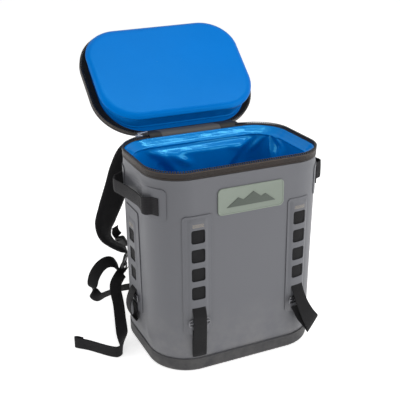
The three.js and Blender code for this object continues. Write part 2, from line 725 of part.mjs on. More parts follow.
// Harness: shoulder pads, ladder locks, adjuster webbing, chest straps and their anchors
const PAD_PATH = [
  { x: -60, y: 128.5, z: 366, yaw: 0, tilt: 61 },
  { x: -80, y: 128.5, z: 377, yaw: 0, tilt: 64 },
  { x: -108, y: 134, z: 384, yaw: 0, tilt: 88 },
  { x: -132, y: 148, z: 374, yaw: 4, tilt: 128 },
  { x: -148, y: 158, z: 344, yaw: 8, tilt: 155 },
  { x: -161, y: 165, z: 302, yaw: 12, tilt: 163 },
  { x: -176, y: 170, z: 258, yaw: 16, tilt: 166 },
  { x: -190, y: 171, z: 220, yaw: 26, tilt: 168 },
  { x: -192.5, y: 169, z: 198, yaw: 42, tilt: 166 },
  { x: -187, y: 165, z: 178, yaw: 58, tilt: 162 },
  { x: -174, y: 158, z: 164, yaw: 64, tilt: 160 },
  { x: -152, y: 150, z: 152.5, yaw: 66, tilt: 164 },
];
const PAD_PROFILE = [[-1, 0.35], [-0.86, 1], [0, 1], [0.86, 1], [1, 0.35]];

// Ladder lock in its own frame: across the webbing, down it and out of it
const LOCK_ORIGIN = { x: -153, y: 148, z: 146 };
function lockFrame(side) {
  const across = new THREE.Vector3(-side * 0.42, 0.87, -0.27).normalize();
  const down = new THREE.Vector3(side * 0.25, 0, -1).normalize();
  const out = new THREE.Vector3().crossVectors(across, down).normalize();
  const origin = new THREE.Vector3(-side * LOCK_ORIGIN.x, LOCK_ORIGIN.y, LOCK_ORIGIN.z);
  const toLeft = out.x * side > 0 ? 1 : -1;
  const at = (d, n) => origin.clone().addScaledVector(down, d).addScaledVector(out, n * toLeft);
  return { across, down, at };
}
function buildLock(name, side) {
  const { across, down, at } = lockFrame(side);
  const { width, height, thickness, slotTop, slotBottom, margin } = LOCK;
  const slot = (top, bottom) => ({
    y: (top + bottom) / 2 - height / 2, width: width - 2 * margin, height: bottom - top });
  const body = plate({ width, height, radius: 5, thickness, slots: [slot(4, 9), slot(slotTop, slotBottom)] });
  const out = new THREE.Vector3().crossVectors(across, down).normalize();
  const origin = at(height / 2, 0).addScaledVector(out, -thickness / 2);
  add(name, placed(body, origin, across, down), 'plastic');
}

// The adjuster webbing runs from the lower anchor up through the lock and on to its free end
const SWEEP = {
  left: [
    { x: -84, y: 130.5, z: 62, yaw: -90, tilt: 90 },
    { x: -104, y: 130.6, z: 62, yaw: -90, tilt: 90 },
    { x: -126, y: 134, z: 63, yaw: -90, tilt: 80 },
    { x: -152, y: 143, z: 64, yaw: -90, tilt: 62 },
    { x: -176, y: 145, z: 63, yaw: -90, tilt: 60 },
    { x: -206, y: 141, z: 59, yaw: -90, tilt: 60 },
    { x: -226, y: 134, z: 60, yaw: -90, tilt: 70 },
    { x: -237, y: 134, z: 78, yaw: 90, tilt: 70 },
    { x: -233, y: 140, z: 104, yaw: 90, tilt: 60 },
    { x: -217, y: 145, z: 125, yaw: 90, tilt: 64 },
    { x: -199, y: 148, z: 133, yaw: 85, tilt: 60 },
    { x: -184, y: 149, z: 129, yaw: 75, tilt: 35 },
  ],
  right: [
    { x: 84, y: 130.5, z: 62, yaw: 90, tilt: 90 },
    { x: 104, y: 130.6, z: 62, yaw: 90, tilt: 90 },
    { x: 126, y: 134, z: 62, yaw: 90, tilt: 86 },
    { x: 152, y: 141, z: 62, yaw: 90, tilt: 78 },
    { x: 172, y: 145, z: 63, yaw: 90, tilt: 78 },
    { x: 190, y: 150, z: 70, yaw: 90, tilt: 60 },
    { x: 196, y: 154, z: 90, yaw: 90, tilt: 30 },
    { x: 190, y: 154, z: 110, yaw: 80, tilt: 10 },
  ],
};
const TAIL = {
  left: [
    { x: -167, y: 140, z: 104, yaw: 10, tilt: -20 },
    { x: -180, y: 128, z: 100, yaw: -30, tilt: -28 },
    { x: -191, y: 117, z: 91, yaw: -30, tilt: -24 },
    { x: -194, y: 108, z: 80, yaw: -10, tilt: -8 },
    { x: -194, y: 94, z: 58, yaw: 2, tilt: 0 },
    { x: -201, y: 64, z: 37, yaw: 22, tilt: 6 },
    { x: -208, y: 36, z: 24, yaw: 22, tilt: 20 },
    { x: -216, y: 8, z: 16, yaw: 10, tilt: 60 },
    { x: -224, y: -12, z: 14, yaw: 0, tilt: 88 },
    { x: -230, y: -18, z: 14, yaw: 0, tilt: 90 },
    { x: -238, y: -20, z: 14, yaw: 0, tilt: 90 },
    { x: -250, y: -11, z: 14, yaw: 0, tilt: 90 },
    { x: -266, y: 8, z: 14, yaw: 0, tilt: 90 },
    { x: -284, y: 30, z: 14, yaw: 0, tilt: 90 },
    { x: -303, y: 48, z: 14, yaw: 0, tilt: 90 },
    { x: -306, y: 53, z: 14, yaw: 0, tilt: 90 },
    { x: -302, y: 54, z: 14, yaw: 0, tilt: 90 },
    { x: -290, y: 43, z: 14, yaw: 0, tilt: 90 },
  ],
  right: [
    { x: 163, y: 150, z: 108, yaw: 65, tilt: 0 },
    { x: 160, y: 158, z: 80, yaw: 60, tilt: 0 },
    { x: 156, y: 166, z: 50, yaw: 60, tilt: 20 },
    { x: 146, y: 176, z: 24, yaw: 60, tilt: 60 },
    { x: 128, y: 184, z: 14, yaw: 90, tilt: 90 },
    { x: 100, y: 188, z: 14, yaw: 90, tilt: 90 },
    { x: 60, y: 186, z: 14, yaw: 90, tilt: 90 },
    { x: 20, y: 190, z: 14, yaw: 90, tilt: 90 },
  ],
};
function buildAdjuster(name, hand, side) {
  const { across, at } = lockFrame(side);
  const ownRow = ({ x, y, z, yaw, tilt }) => row(-1, x, y, z, yaw, tilt);
  const bar = [
    { d: 40, n: 7 },
    { d: 31, n: 6 },
    { d: 24, n: 4.2 },
    { d: 22, n: 0 },
    { d: 24, n: -4.2 },
    { d: 31, n: -6 },
    { d: 40, n: -7 },
  ];
  const roundBar = bar.map(({ d, n }) => ({ at: at(d, n), across }));
  const rows = [...SWEEP[hand].map(ownRow), ...roundBar, ...TAIL[hand].map(ownRow)];
  const aligned = rows.reduce((list, next) => {
    const before = list[list.length - 1];
    const flipped = before && before.across.dot(next.across) < 0;
    list.push({ at: next.at, across: flipped ? next.across.clone().negate() : next.across });
    return list;
  }, []);
  const size = { width: WEBBING.width - 2, thickness: WEBBING.thickness, steps: 2 * rows.length };
  add(name, ribbon(aligned, size), 'black');
}

function buildHarness() {
  buildYoke();
  for (const [hand, way] of [['left', -1], ['right', 1]]) {
    const padRows = PAD_PATH.map(({ x, y, z, yaw, tilt }) => row(way, x, y, z, yaw, tilt));
    const padShape = { ...SHOULDER_PAD, steps: 20, profile: PAD_PROFILE };
    add(`shoulder_pad_${hand}`, ribbon(padRows, padShape), 'black');
    buildLock(`ladder_lock_${hand}`, way);
    buildAdjuster(`adjuster_webbing_${hand}`, hand, way);
    buildAnchor(`lower_anchor_${hand}`, way);
    buildSternum(hand, way);
  }
}

// Plain patch across the flat of the back, which the shoulder pads are sewn to
function buildYoke() {
  const { halfWidth, bottom, top } = YOKE;
  const corner = PATCH.corner;
  const heights = [
    { z: bottom, inset: corner },
    { z: bottom + corner, inset: 0 },
    { z: top - corner, inset: 0 },
    { z: top, inset: corner },
  ];
  const grid = (offset) => heights.map(({ z, inset }) => [-1, 1].map((sign) =>
    new THREE.Vector3(sign * (halfWidth - inset), bodySection(z).depth / 2 + offset, z)));
  add('back_yoke', slab(grid(GAP + FABRIC), grid(GAP)), 'shell');
}

// Patch on the back, beside its rounded corner, that an adjuster webbing is sewn to
function buildAnchor(name, side) {
  const { front, arc, side: straight } = lengthsOf(bodySection(ANCHOR.z));
  const from = front + 2 * arc + straight - ANCHOR.pastCorner;
  const bottom = ANCHOR.z - ANCHOR.height / 2;
  wallPatch(name, side * from, side * (from + ANCHOR.width), bottom, bottom + ANCHOR.height, 'black');
}

// Chest strap: a short webbing from the pad's inner edge with one half of its buckle
function buildSternum(hand, side) {
  const rows = [
    row(side, -160.8, 194.5, 192, 20, 60),
    row(side, -160, 196, 178.5, 20, 50),
    row(side, -153, 196, 167, 20, 40),
  ];
  const webbing = { width: STERNUM.width, thickness: WEBBING.thickness, steps: 6 };
  add(`chest_strap_${hand}`, ribbon(rows, webbing), 'black');
  const buckle = plate({
    width: STERNUM.buckleWidth, height: STERNUM.buckleLength, radius: 5, thickness: STERNUM.buckleThickness,
    slots: [{ y: STERNUM.buckleLength / 2 - 6, width: STERNUM.buckleWidth - 8, height: 4 }] });
  const down = new THREE.Vector3(-side * 0.45, 0, -0.9).normalize();
  const acrossRaw = new THREE.Vector3(-side * 0.8, -0.6, 0);
  const across = acrossRaw.addScaledVector(down, -acrossRaw.dot(down)).normalize();
  const up = down.clone().negate();
  const out = new THREE.Vector3().crossVectors(across, up).normalize();
  const origin = new THREE.Vector3(side * 147, 194.2, 153.4)
    .addScaledVector(out, -STERNUM.buckleThickness / 2);
  add(`chest_buckle_${hand}`, placed(buckle, origin, across, up), 'plastic');
}

buildBaseTray();
buildShell();
buildLiner();
buildZips();
buildSlider();
buildLid();
buildHinge();
buildBadge();
for (const point of LASH_POINTS) {
  buildPatch(point);
  buildLash(point);
  buildLashBuckle(point);
}
for (const [hand, way] of [['left', -1], ['right', 1]]) {
  const { front, arc, side } = lengthsOf(bodySection(HANDLE.bottom));
  const sideMiddle = front + arc + side / 2;
  const ends = [['front', HANDLE_PATCH.from, HANDLE_PATCH.to],
    ['rear', 2 * sideMiddle - HANDLE_PATCH.to, 2 * sideMiddle - HANDLE_PATCH.from]];
  for (const [end, from, to] of ends) {
    const name = `handle_patch_${end}_${hand}`;
    wallPatch(name, way * from, way * to, HANDLE_PATCH.bottom, HANDLE_PATCH.top);
  }
  buildHandle(`handle_${hand}`, way, HANDLE_SWING[hand]);
}
buildHarness();

export default cooler;
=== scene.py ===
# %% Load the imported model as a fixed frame
import math

import bmesh
import bpy
from mathutils import Matrix, Vector, noise


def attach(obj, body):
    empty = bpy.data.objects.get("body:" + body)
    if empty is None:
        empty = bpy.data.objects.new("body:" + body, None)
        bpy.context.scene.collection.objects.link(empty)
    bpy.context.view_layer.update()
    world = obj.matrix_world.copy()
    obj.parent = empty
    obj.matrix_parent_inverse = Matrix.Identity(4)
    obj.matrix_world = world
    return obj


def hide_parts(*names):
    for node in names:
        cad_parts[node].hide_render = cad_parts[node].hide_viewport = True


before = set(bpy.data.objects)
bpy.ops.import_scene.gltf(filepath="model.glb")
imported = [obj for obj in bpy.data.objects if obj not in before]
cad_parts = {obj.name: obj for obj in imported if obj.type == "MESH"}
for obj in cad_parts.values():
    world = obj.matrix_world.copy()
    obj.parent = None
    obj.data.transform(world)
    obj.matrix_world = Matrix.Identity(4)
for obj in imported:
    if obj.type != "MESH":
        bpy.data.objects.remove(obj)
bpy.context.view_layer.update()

# %% [markdown]
# # A soft cooler backpack with its lid laid open
#
# The real thing is a tub of coated fabric over foam, with a glossy blue film liner, a zip round
# its mouth and a padded lid. Straps of woven webbing and welded patches sit on its walls.
# Everything here is in metres, +Z is up and the front faces -Y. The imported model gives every
# place, so each new piece is laid where its solid is and then stands in for it.

# %% Small tools for picking and finishing
MM = 0.001


def deselect():
    bpy.ops.object.select_all(action="DESELECT")


def pick(piece):
    deselect()
    piece.select_set(True)
    bpy.context.view_layer.objects.active = piece


def edit(piece, mode="FACE"):
    """Opens a piece in edit mode with nothing selected."""
    pick(piece)
    bpy.ops.object.mode_set(mode="EDIT")
    bpy.ops.mesh.select_mode(type=mode)
    bpy.ops.mesh.select_all(action="DESELECT")


def close_edit():
    bpy.ops.object.mode_set(mode="OBJECT")


def select_where(piece, wanted, kind="faces"):
    """Selects the faces, edges or vertices for which wanted(item) is true, in edit mode."""
    shape = bmesh.from_edit_mesh(piece.data)
    items = {"faces": shape.faces, "edges": shape.edges, "verts": shape.verts}[kind]
    for item in items:
        item.select_set(bool(wanted(item)))
    shape.select_flush_mode()
    bmesh.update_edit_mesh(piece.data)


def apply_all(piece):
    pick(piece)
    for modifier in list(piece.modifiers):
        bpy.ops.object.modifier_apply(modifier=modifier.name)


def named(piece, name):
    piece.name = name
    piece.data.name = name
    return piece


def smooth(piece, degrees=40):
    pick(piece)
    bpy.ops.object.shade_smooth_by_angle(angle=math.radians(degrees))


def settle(piece):
    """Puts the object's place into its mesh, so that it sits at the origin unturned."""
    pick(piece)
    bpy.ops.object.transform_apply(location=True, rotation=True, scale=True)


def tidy_normals(piece):
    edit(piece, "VERT")
    bpy.ops.mesh.select_all(action="SELECT")
    bpy.ops.mesh.remove_doubles(threshold=1e-6)
    bpy.ops.mesh.normals_make_consistent(inside=False)
    close_edit()


def dress(piece, name, material, slot, *nodes, degrees=40):
    """Names a piece, gives it its material and lets it stand for its solids."""
    named(piece, name)
    piece.data.materials.clear()
    piece.data.materials.append(material)
    smooth(piece, degrees)
    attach(piece, "root")
    if nodes:
        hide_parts(*nodes)
    print(name, len(piece.data.polygons), "faces")
    return piece


def smoothstep(value, low, high):
    t = min(max((value - low) / (high - low), 0.0), 1.0)
    return t * t * (3 - 2 * t)


def lobe(value, low, high):
    t = (value - low) / (high - low)
    return math.sin(math.pi * t) ** 2 if 0 < t < 1 else 0.0


# %% [markdown]
# ## The camera, the floor and the light
#
# The photo looks at the left front corner from a little above. Camera angle, distance and lens
# were fitted to the outline of the body. The light is a studio of large soft boxes: one at the
# left, one at the right, one above and a weak one in front, because the corner that faces the
# camera is the darkest band on the grey wall. A narrow strip above draws the thin bright lines
# along the folds and welds of the blue film, and a white floor fills from below.

# %% Camera
AZIMUTH = math.radians(-24.944)
ELEVATION = math.radians(22.145)
camera_data = bpy.data.cameras.new("camera")
camera_data.lens = 68.39
camera_data.sensor_width = 36.0
camera_data.clip_end = 20
camera = bpy.data.objects.new("camera", camera_data)
bpy.context.scene.collection.objects.link(camera)
camera.location = (-0.64120, -1.28676, 0.88514)
camera.rotation_euler = (math.pi / 2 - ELEVATION, 0, AZIMUTH)
bpy.context.scene.camera = camera

# %% Floor and lights
deselect()
bpy.ops.mesh.primitive_plane_add(size=60, location=(0, 0, 0))
floor = named(bpy.context.object, "studio_floor")
floor_paint = bpy.data.materials.new("floor_paint")
floor_paint.use_nodes = True
floor_paint.node_tree.nodes["Principled BSDF"].inputs["Base Color"].default_value = (0.9, 0.9, 0.9, 1)
floor_paint.node_tree.nodes["Principled BSDF"].inputs["Roughness"].default_value = 0.7
floor_paint.node_tree.nodes["Principled BSDF"].inputs["Emission Color"].default_value = (1, 1, 1, 1)
floor_paint.node_tree.nodes["Principled BSDF"].inputs["Emission Strength"].default_value = 0.62
floor.data.materials.append(floor_paint)

LIGHTS = [
    {"name": "left_box", "azimuth": -105, "height": 1.1, "distance": 1.7, "size": (0.9, 1.2), "power": 7},
    {"name": "right_box", "azimuth": 42, "height": 1.0, "distance": 1.9, "size": (1.2, 1.4), "power": 17},
    {"name": "top_box", "azimuth": 0, "height": 2.3, "distance": 0.2, "size": (1.5, 1.5), "power": 8},
    {"name": "strip_above", "azimuth": 82, "height": 1.7, "distance": 0.36, "size": (0.1, 1.3), "power": 5},
    {"name": "front_box", "azimuth": -12, "height": 1.3, "distance": 2.3, "size": (1.2, 0.8), "power": 5},
]
AIM = Vector((0, 0.05, 0.25))
for row in LIGHTS:
    turn = math.radians(row["azimuth"])
    light = bpy.data.lights.new(row["name"], "AREA")
    light.shape = "RECTANGLE"
    light.size, light.size_y = row["size"]
    light.energy = row["power"]
    lamp = bpy.data.objects.new(row["name"], light)
    bpy.context.scene.collection.objects.link(lamp)
    lamp.location = (math.sin(turn) * row["distance"], -math.cos(turn) * row["distance"], row["height"])
    lamp.rotation_euler = (AIM - lamp.location).to_track_quat("-Z", "Y").to_euler()

world = bpy.data.worlds.new("studio")
bpy.context.scene.world = world
world.use_nodes = True
sky = world.node_tree.nodes["Background"]
sky.inputs["Color"].default_value = (1, 1, 1, 1)
sky.inputs["Strength"].default_value = 0.42
bpy.context.scene.view_settings.view_transform = "Standard"
print("lights", [row["name"] for row in LIGHTS])

# %% [markdown]
# ## Finishes
#
# Woven cloth, webbing and moulded surfaces share a few effects, so each effect is a node group
# with named inputs and outputs: a fine weave, the ribs of webbing, a soft mottle of colour and a
# dust that gathers in patches. The groups give colours, masks and heights; the shader stays in
# each material. Patterns that follow a cloth read its UV map, which is laid out in metres.

# %% Node group helpers
def new_group(name, inputs, outputs):
    group = bpy.data.node_groups.new(name, "ShaderNodeTree")
    for label, kind, value in inputs:
        socket = group.interface.new_socket(name=label, in_out="INPUT", socket_type=kind)
        if value is not None:
            socket.default_value = value
    for label, kind in outputs:
        group.interface.new_socket(name=label, in_out="OUTPUT", socket_type=kind)
    return group, group.nodes.new("NodeGroupInput"), group.nodes.new("NodeGroupOutput")


def feed(tree, socket, value):
    """Links a socket to another one, or sets its value."""
    if isinstance(value, bpy.types.NodeSocket):
        tree.links.new(value, socket)
    elif value is not None:
        socket.default_value = value


def maths(tree, operation, first, second=None, third=None):
    node = tree.nodes.new("ShaderNodeMath")
    node.operation = operation
    for socket, value in zip(node.inputs, (first, second, third)):
        feed(tree, socket, value)
    return node.outputs[0]


def noise_of(tree, vector, scale, detail=3.0, roughness=0.5):
    node = tree.nodes.new("ShaderNodeTexNoise")
    node.inputs["Detail"].default_value = detail
    node.inputs["Roughness"].default_value = roughness
    feed(tree, node.inputs["Vector"], vector)
    feed(tree, node.inputs["Scale"], scale)
    return node.outputs["Fac"]


# %% Weave: crossing threads of a fine cloth
weave_group, weave_in, weave_out = new_group(
    "fine_weave",
    [("Vector", "NodeSocketVector", None), ("Threads per metre", "NodeSocketFloat", 1400.0)],
    [("Height", "NodeSocketFloat"), ("Shade", "NodeSocketFloat")])
split = weave_group.nodes.new("ShaderNodeSeparateXYZ")
feed(weave_group, split.inputs[0], weave_in.outputs["Vector"])
turns = maths(weave_group, "MULTIPLY", weave_in.outputs["Threads per metre"], math.pi)
warp = maths(weave_group, "SINE", maths(weave_group, "MULTIPLY", split.outputs["X"], turns))
weft = maths(weave_group, "SINE", maths(weave_group, "MULTIPLY", split.outputs["Y"], turns))
crossing = maths(weave_group, "MULTIPLY", warp, weft)
height = maths(weave_group, "MULTIPLY_ADD", crossing, 0.5, 0.5)
feed(weave_group, weave_out.inputs["Height"], height)
feed(weave_group, weave_out.inputs["Shade"], maths(weave_group, "MULTIPLY_ADD", height, 0.16, 0.92))

# %% Ribs: the raised wales that run along webbing, crossed by picks
ribs_group, ribs_in, ribs_out = new_group(
    "webbing_ribs",
    [("Vector", "NodeSocketVector", None), ("Rib pitch", "NodeSocketFloat", 0.0021),
     ("Pick pitch", "NodeSocketFloat", 0.0011)],
    [("Height", "NodeSocketFloat"), ("Shade", "NodeSocketFloat")])
split = ribs_group.nodes.new("ShaderNodeSeparateXYZ")
feed(ribs_group, split.inputs[0], ribs_in.outputs["Vector"])
across = maths(ribs_group, "DIVIDE", split.outputs["Y"], ribs_in.outputs["Rib pitch"])
along = maths(ribs_group, "DIVIDE", split.outputs["X"], ribs_in.outputs["Pick pitch"])
rib_wave = maths(ribs_group, "SINE", maths(ribs_group, "MULTIPLY", across, math.pi))
rib = maths(ribs_group, "ABSOLUTE", rib_wave)
slant = maths(ribs_group, "ADD", along, maths(ribs_group, "PINGPONG", across, 1.0))
pick_wave = maths(ribs_group, "SINE", maths(ribs_group, "MULTIPLY", slant, 2 * math.pi))
pick_height = maths(ribs_group, "MULTIPLY_ADD", pick_wave, 0.16, 0.0)
height = maths(ribs_group, "ADD", rib, pick_height)
feed(ribs_group, ribs_out.inputs["Height"], height)
feed(ribs_group, ribs_out.inputs["Shade"], maths(ribs_group, "MULTIPLY_ADD", height, 0.55, 0.6))

# %% Mottle: slow, soft change of tone, as on a dyed or coated surface
mottle_group, mottle_in, mottle_out = new_group(
    "tone_mottle",
    [("Vector", "NodeSocketVector", None), ("Scale", "NodeSocketFloat", 14.0),
     ("Amount", "NodeSocketFloat", 0.1)],
    [("Shade", "NodeSocketFloat"), ("Mask", "NodeSocketFloat")])
slow = noise_of(mottle_group, mottle_in.outputs["Vector"], mottle_in.outputs["Scale"], 4.0, 0.55)
swing = maths(mottle_group, "MULTIPLY", maths(mottle_group, "SUBTRACT", slow, 0.5), 2.0)
shade = maths(mottle_group, "MULTIPLY_ADD", swing, mottle_in.outputs["Amount"], 1.0)
feed(mottle_group, mottle_out.inputs["Shade"], shade)
feed(mottle_group, mottle_out.inputs["Mask"], slow)

# %% Dust: a pale haze in patches, thicker low down
dust_group, dust_in, dust_out = new_group(
    "settled_dust",
    [("Vector", "NodeSocketVector", None), ("Scale", "NodeSocketFloat", 30.0),
     ("Low height", "NodeSocketFloat", 0.0), ("High height", "NodeSocketFloat", 0.2)],
    [("Mask", "NodeSocketFloat")])
split = dust_group.nodes.new("ShaderNodeSeparateXYZ")
feed(dust_group, split.inputs[0], dust_in.outputs["Vector"])
fall = dust_group.nodes.new("ShaderNodeMapRange")
feed(dust_group, fall.inputs["Value"], split.outputs["Z"])
feed(dust_group, fall.inputs["From Min"], dust_in.outputs["High height"])
feed(dust_group, fall.inputs["From Max"], dust_in.outputs["Low height"])
specks = noise_of(dust_group, dust_in.outputs["Vector"], dust_in.outputs["Scale"], 8.0, 0.65)
patches = maths(dust_group, "SMOOTH_MIN", maths(dust_group, "MULTIPLY_ADD", specks, 2.6, -0.95), 1.0, 0.2)
feed(dust_group, dust_out.inputs["Mask"], maths(dust_group, "MULTIPLY", patches, fall.outputs[0]))


# %% Material builder
def use_group(tree, group, vector, **values):
    node = tree.nodes.new("ShaderNodeGroup")
    node.node_tree = group
    feed(tree, node.inputs["Vector"], vector)
    for label, value in values.items():
        feed(tree, node.inputs[label.replace("_", " ")], value)
    return node.outputs


def finish(name, roughness, metallic=0.0, coat=0.0, coat_roughness=0.1, sheen=0.0, specular=0.5,
           gloss=(1, 1, 1, 1)):
    """A new material with its shader's even values set; returns its tree and its shader."""
    material = bpy.data.materials.new(name)
    material.use_nodes = True
    shader = material.node_tree.nodes["Principled BSDF"]
    shader.inputs["Roughness"].default_value = roughness
    shader.inputs["Metallic"].default_value = metallic
    shader.inputs["Coat Weight"].default_value = coat
    shader.inputs["Coat Roughness"].default_value = coat_roughness
    shader.inputs["Sheen Weight"].default_value = sheen
    shader.inputs["Specular IOR Level"].default_value = specular
    shader.inputs["Specular Tint"].default_value = gloss
    return material, material.node_tree, shader


def tinted(tree, colour, *shades):
    """A colour darkened or lightened by each of the given shades in turn."""
    result = colour
    for shade_value in shades:
        node = tree.nodes.new("ShaderNodeVectorMath")
        node.operation = "SCALE"
        feed(tree, node.inputs[0], result)
        feed(tree, node.inputs["Scale"], shade_value)
        result = node.outputs[0]
    return result


def mixed(tree, mask, first, second):
    node = tree.nodes.new("ShaderNodeMix")
    node.data_type = "RGBA"
    feed(tree, node.inputs["Factor"], mask)
    feed(tree, node.inputs["A"], first)
    feed(tree, node.inputs["B"], second)
    return node.outputs["Result"]


def bumped(tree, shader, height_value, distance, strength=1.0):
    node = tree.nodes.new("ShaderNodeBump")
    node.inputs["Distance"].default_value = distance
    node.inputs["Strength"].default_value = strength
    feed(tree, node.inputs["Height"], height_value)
    feed(tree, shader.inputs["Normal"], node.outputs["Normal"])


def coordinates(tree, kind):
    return tree.nodes.new("ShaderNodeTexCoord").outputs[kind]


# %% [markdown]
# The grey shell is a satin coated fabric: its weave shows only close up, and dust settles low
# down. The blue film is smooth and glossy, and its shine is tinted so that it stays blue in a
# white studio. Webbing is nearly black, and only its ribs catch the light.

# %% Materials of cloth, film and webbing
def coated_fabric(name, colour, roughness, threads=1500.0, dusty=True):
    material, tree, shader = finish(name, roughness, coat=0.06, coat_roughness=0.35, specular=0.42)
    flat = coordinates(tree, "UV")
    place = coordinates(tree, "Object")
    weave = use_group(tree, weave_group, flat, Threads_per_metre=threads)
    mottle = use_group(tree, mottle_group, place, Scale=9.0, Amount=0.05)
    base = tinted(tree, colour, weave["Shade"], mottle["Shade"])
    if dusty:
        dust = use_group(tree, dust_group, place, Scale=24.0, Low_height=0.02, High_height=0.14)
        weak = maths(tree, "MULTIPLY", dust["Mask"], 0.22)
        base = mixed(tree, weak, base, (0.36, 0.34, 0.31, 1))
    feed(tree, shader.inputs["Base Color"], base)
    rough = maths(tree, "MULTIPLY_ADD", mottle["Mask"], 0.16, roughness - 0.08)
    feed(tree, shader.inputs["Roughness"], rough)
    bumped(tree, shader, weave["Height"], 0.00006, 0.55)
    return material


grey_fabric = coated_fabric("grey_coated_fabric", (0.106, 0.108, 0.120), 0.46)
patch_fabric = coated_fabric("grey_patch_fabric", (0.102, 0.104, 0.116), 0.46)
hinge_fabric = coated_fabric("grey_hinge_fabric", (0.058, 0.057, 0.058), 0.62, dusty=False)
garage_fabric = coated_fabric("black_garage_fabric", (0.007, 0.007, 0.008), 0.6, dusty=False)


def blue_film(name, colour, roughness, wrinkle, specular, gloss):
    material, tree, shader = finish(name, roughness, specular=specular, gloss=gloss)
    place = coordinates(tree, "Object")
    mottle = use_group(tree, mottle_group, place, Scale=7.0, Amount=0.07)
    feed(tree, shader.inputs["Base Color"], tinted(tree, colour, mottle["Shade"]))
    fine = noise_of(tree, place, 42.0, 3.0, 0.5)
    bumped(tree, shader, fine, wrinkle, 0.6)
    return material


cushion_film = blue_film("blue_cushion_film", (0.0, 0.15, 0.53), 0.3, 0.0006, 0.3,
                         (0.03, 0.55, 1.0, 1))
liner_film = blue_film("blue_liner_film", (0.0, 0.175, 0.56), 0.13, 0.0014, 0.8, (0.12, 0.75, 1.0, 1))


def webbing(name, colour, rib=0.0021, sheen=0.06, roughness=0.75):
    material, tree, shader = finish(name, roughness, sheen=sheen, specular=0.18)
    flat = coordinates(tree, "UV")
    ribs = use_group(tree, ribs_group, flat, Rib_pitch=rib)
    mottle = use_group(tree, mottle_group, coordinates(tree, "Object"), Scale=22.0, Amount=0.12)
    feed(tree, shader.inputs["Base Color"], tinted(tree, colour, ribs["Shade"], mottle["Shade"]))
    bumped(tree, shader, ribs["Height"], 0.0004, 0.8)
    return material


black_webbing = webbing("black_webbing", (0.0075, 0.0072, 0.0082))
handle_webbing = webbing("handle_webbing", (0.0125, 0.0118, 0.0135), rib=0.0032, sheen=0.08)
# Black tape that binds the lid's flange; where it is widened at the sides, its black is painted shade for
# the channel beside the cushion.
binding_and_shade_tape = webbing("binding_and_shade_tape", (0.007, 0.0065, 0.007), rib=0.004)


def mesh_cloth(name, colour):
    material, tree, shader = finish(name, 0.8, sheen=0.05, specular=0.15)
    flat = coordinates(tree, "UV")
    weave = use_group(tree, weave_group, flat, Threads_per_metre=700.0)
    mottle = use_group(tree, mottle_group, coordinates(tree, "Object"), Scale=12.0, Amount=0.14)
    feed(tree, shader.inputs["Base Color"], tinted(tree, colour, weave["Shade"], mottle["Shade"]))
    bumped(tree, shader, weave["Height"], 0.0003, 0.7)
    return material


pad_cloth = mesh_cloth("pad_cloth", (0.0085, 0.0082, 0.0090))


# %% Materials of moulded, metal and small parts
def moulded(name, colour, roughness, grain=0.00012, grain_scale=900.0, specular=0.5, dusty=0.0):
    material, tree, shader = finish(name, roughness, specular=specular)
    place = coordinates(tree, "Object")
    mottle = use_group(tree, mottle_group, place, Scale=16.0, Amount=0.08)
    base = tinted(tree, colour, mottle["Shade"])
    if dusty:
        dust = use_group(tree, dust_group, place, Scale=34.0, Low_height=0.0, High_height=0.06)
        base = mixed(tree, maths(tree, "MULTIPLY", dust["Mask"], dusty), base, (0.33, 0.31, 0.28, 1))
    feed(tree, shader.inputs["Base Color"], base)
    rough = maths(tree, "MULTIPLY_ADD", mottle["Mask"], 0.2, roughness - 0.1)
    feed(tree, shader.inputs["Roughness"], rough)
    bumped(tree, shader, noise_of(tree, place, grain_scale, 2.0), grain, 0.5)
    return material


tray_rubber = moulded("tray_rubber", (0.030, 0.030, 0.033), 0.6, dusty=0.22, specular=0.35)
zip_tooth = moulded("zip_tooth", (0.006, 0.0055, 0.0055), 0.3, grain=0.00004)
buckle_plastic = moulded("buckle_plastic", (0.010, 0.010, 0.011), 0.4)
badge_rubber = moulded("badge_rubber", (0.205, 0.235, 0.200), 0.62, specular=0.3)
relief_rubber = moulded("relief_rubber", (0.062, 0.076, 0.062), 0.55)


def metal(name, colour, roughness):
    material, tree, shader = finish(name, roughness, metallic=1.0)
    place = coordinates(tree, "Object")
    mottle = use_group(tree, mottle_group, place, Scale=160.0, Amount=0.18)
    feed(tree, shader.inputs["Base Color"], tinted(tree, colour, mottle["Shade"]))
    rough = maths(tree, "MULTIPLY_ADD", mottle["Mask"], 0.3, roughness - 0.12)
    feed(tree, shader.inputs["Roughness"], rough)
    bumped(tree, shader, noise_of(tree, place, 600.0, 3.0), 0.00006, 0.5)
    return material


slider_metal = metal("slider_metal", (0.34, 0.35, 0.37), 0.36)
buckle_metal = metal("buckle_metal", (0.16, 0.16, 0.17), 0.3)


def zip_tape_cloth():
    material, tree, shader = finish("zip_tape_cloth", 0.42, specular=0.3)
    flat = coordinates(tree, "UV")
    place = coordinates(tree, "Object")
    ribs = use_group(tree, ribs_group, flat, Rib_pitch=0.0012, Pick_pitch=0.0016)
    warm = noise_of(tree, place, 11.0, 3.0)
    base = mixed(tree, warm, (0.006, 0.005, 0.005, 1), (0.026, 0.014, 0.008, 1))
    split_height = tree.nodes.new("ShaderNodeSeparateXYZ")
    feed(tree, split_height.inputs[0], flat)
    edge = tree.nodes.new("ShaderNodeMapRange")
    edge.interpolation_type = "SMOOTHSTEP"
    feed(tree, edge.inputs["Value"], split_height.outputs["Y"])
    edge.inputs["From Min"].default_value = 0.24
    edge.inputs["From Max"].default_value = 0.28
    base = mixed(tree, edge.outputs[0], base, (0.06, 0.045, 0.036, 1))
    feed(tree, shader.inputs["Base Color"], tinted(tree, base, ribs["Shade"]))
    bumped(tree, shader, ribs["Height"], 0.0002, 0.6)
    return material


zip_tape = zip_tape_cloth()


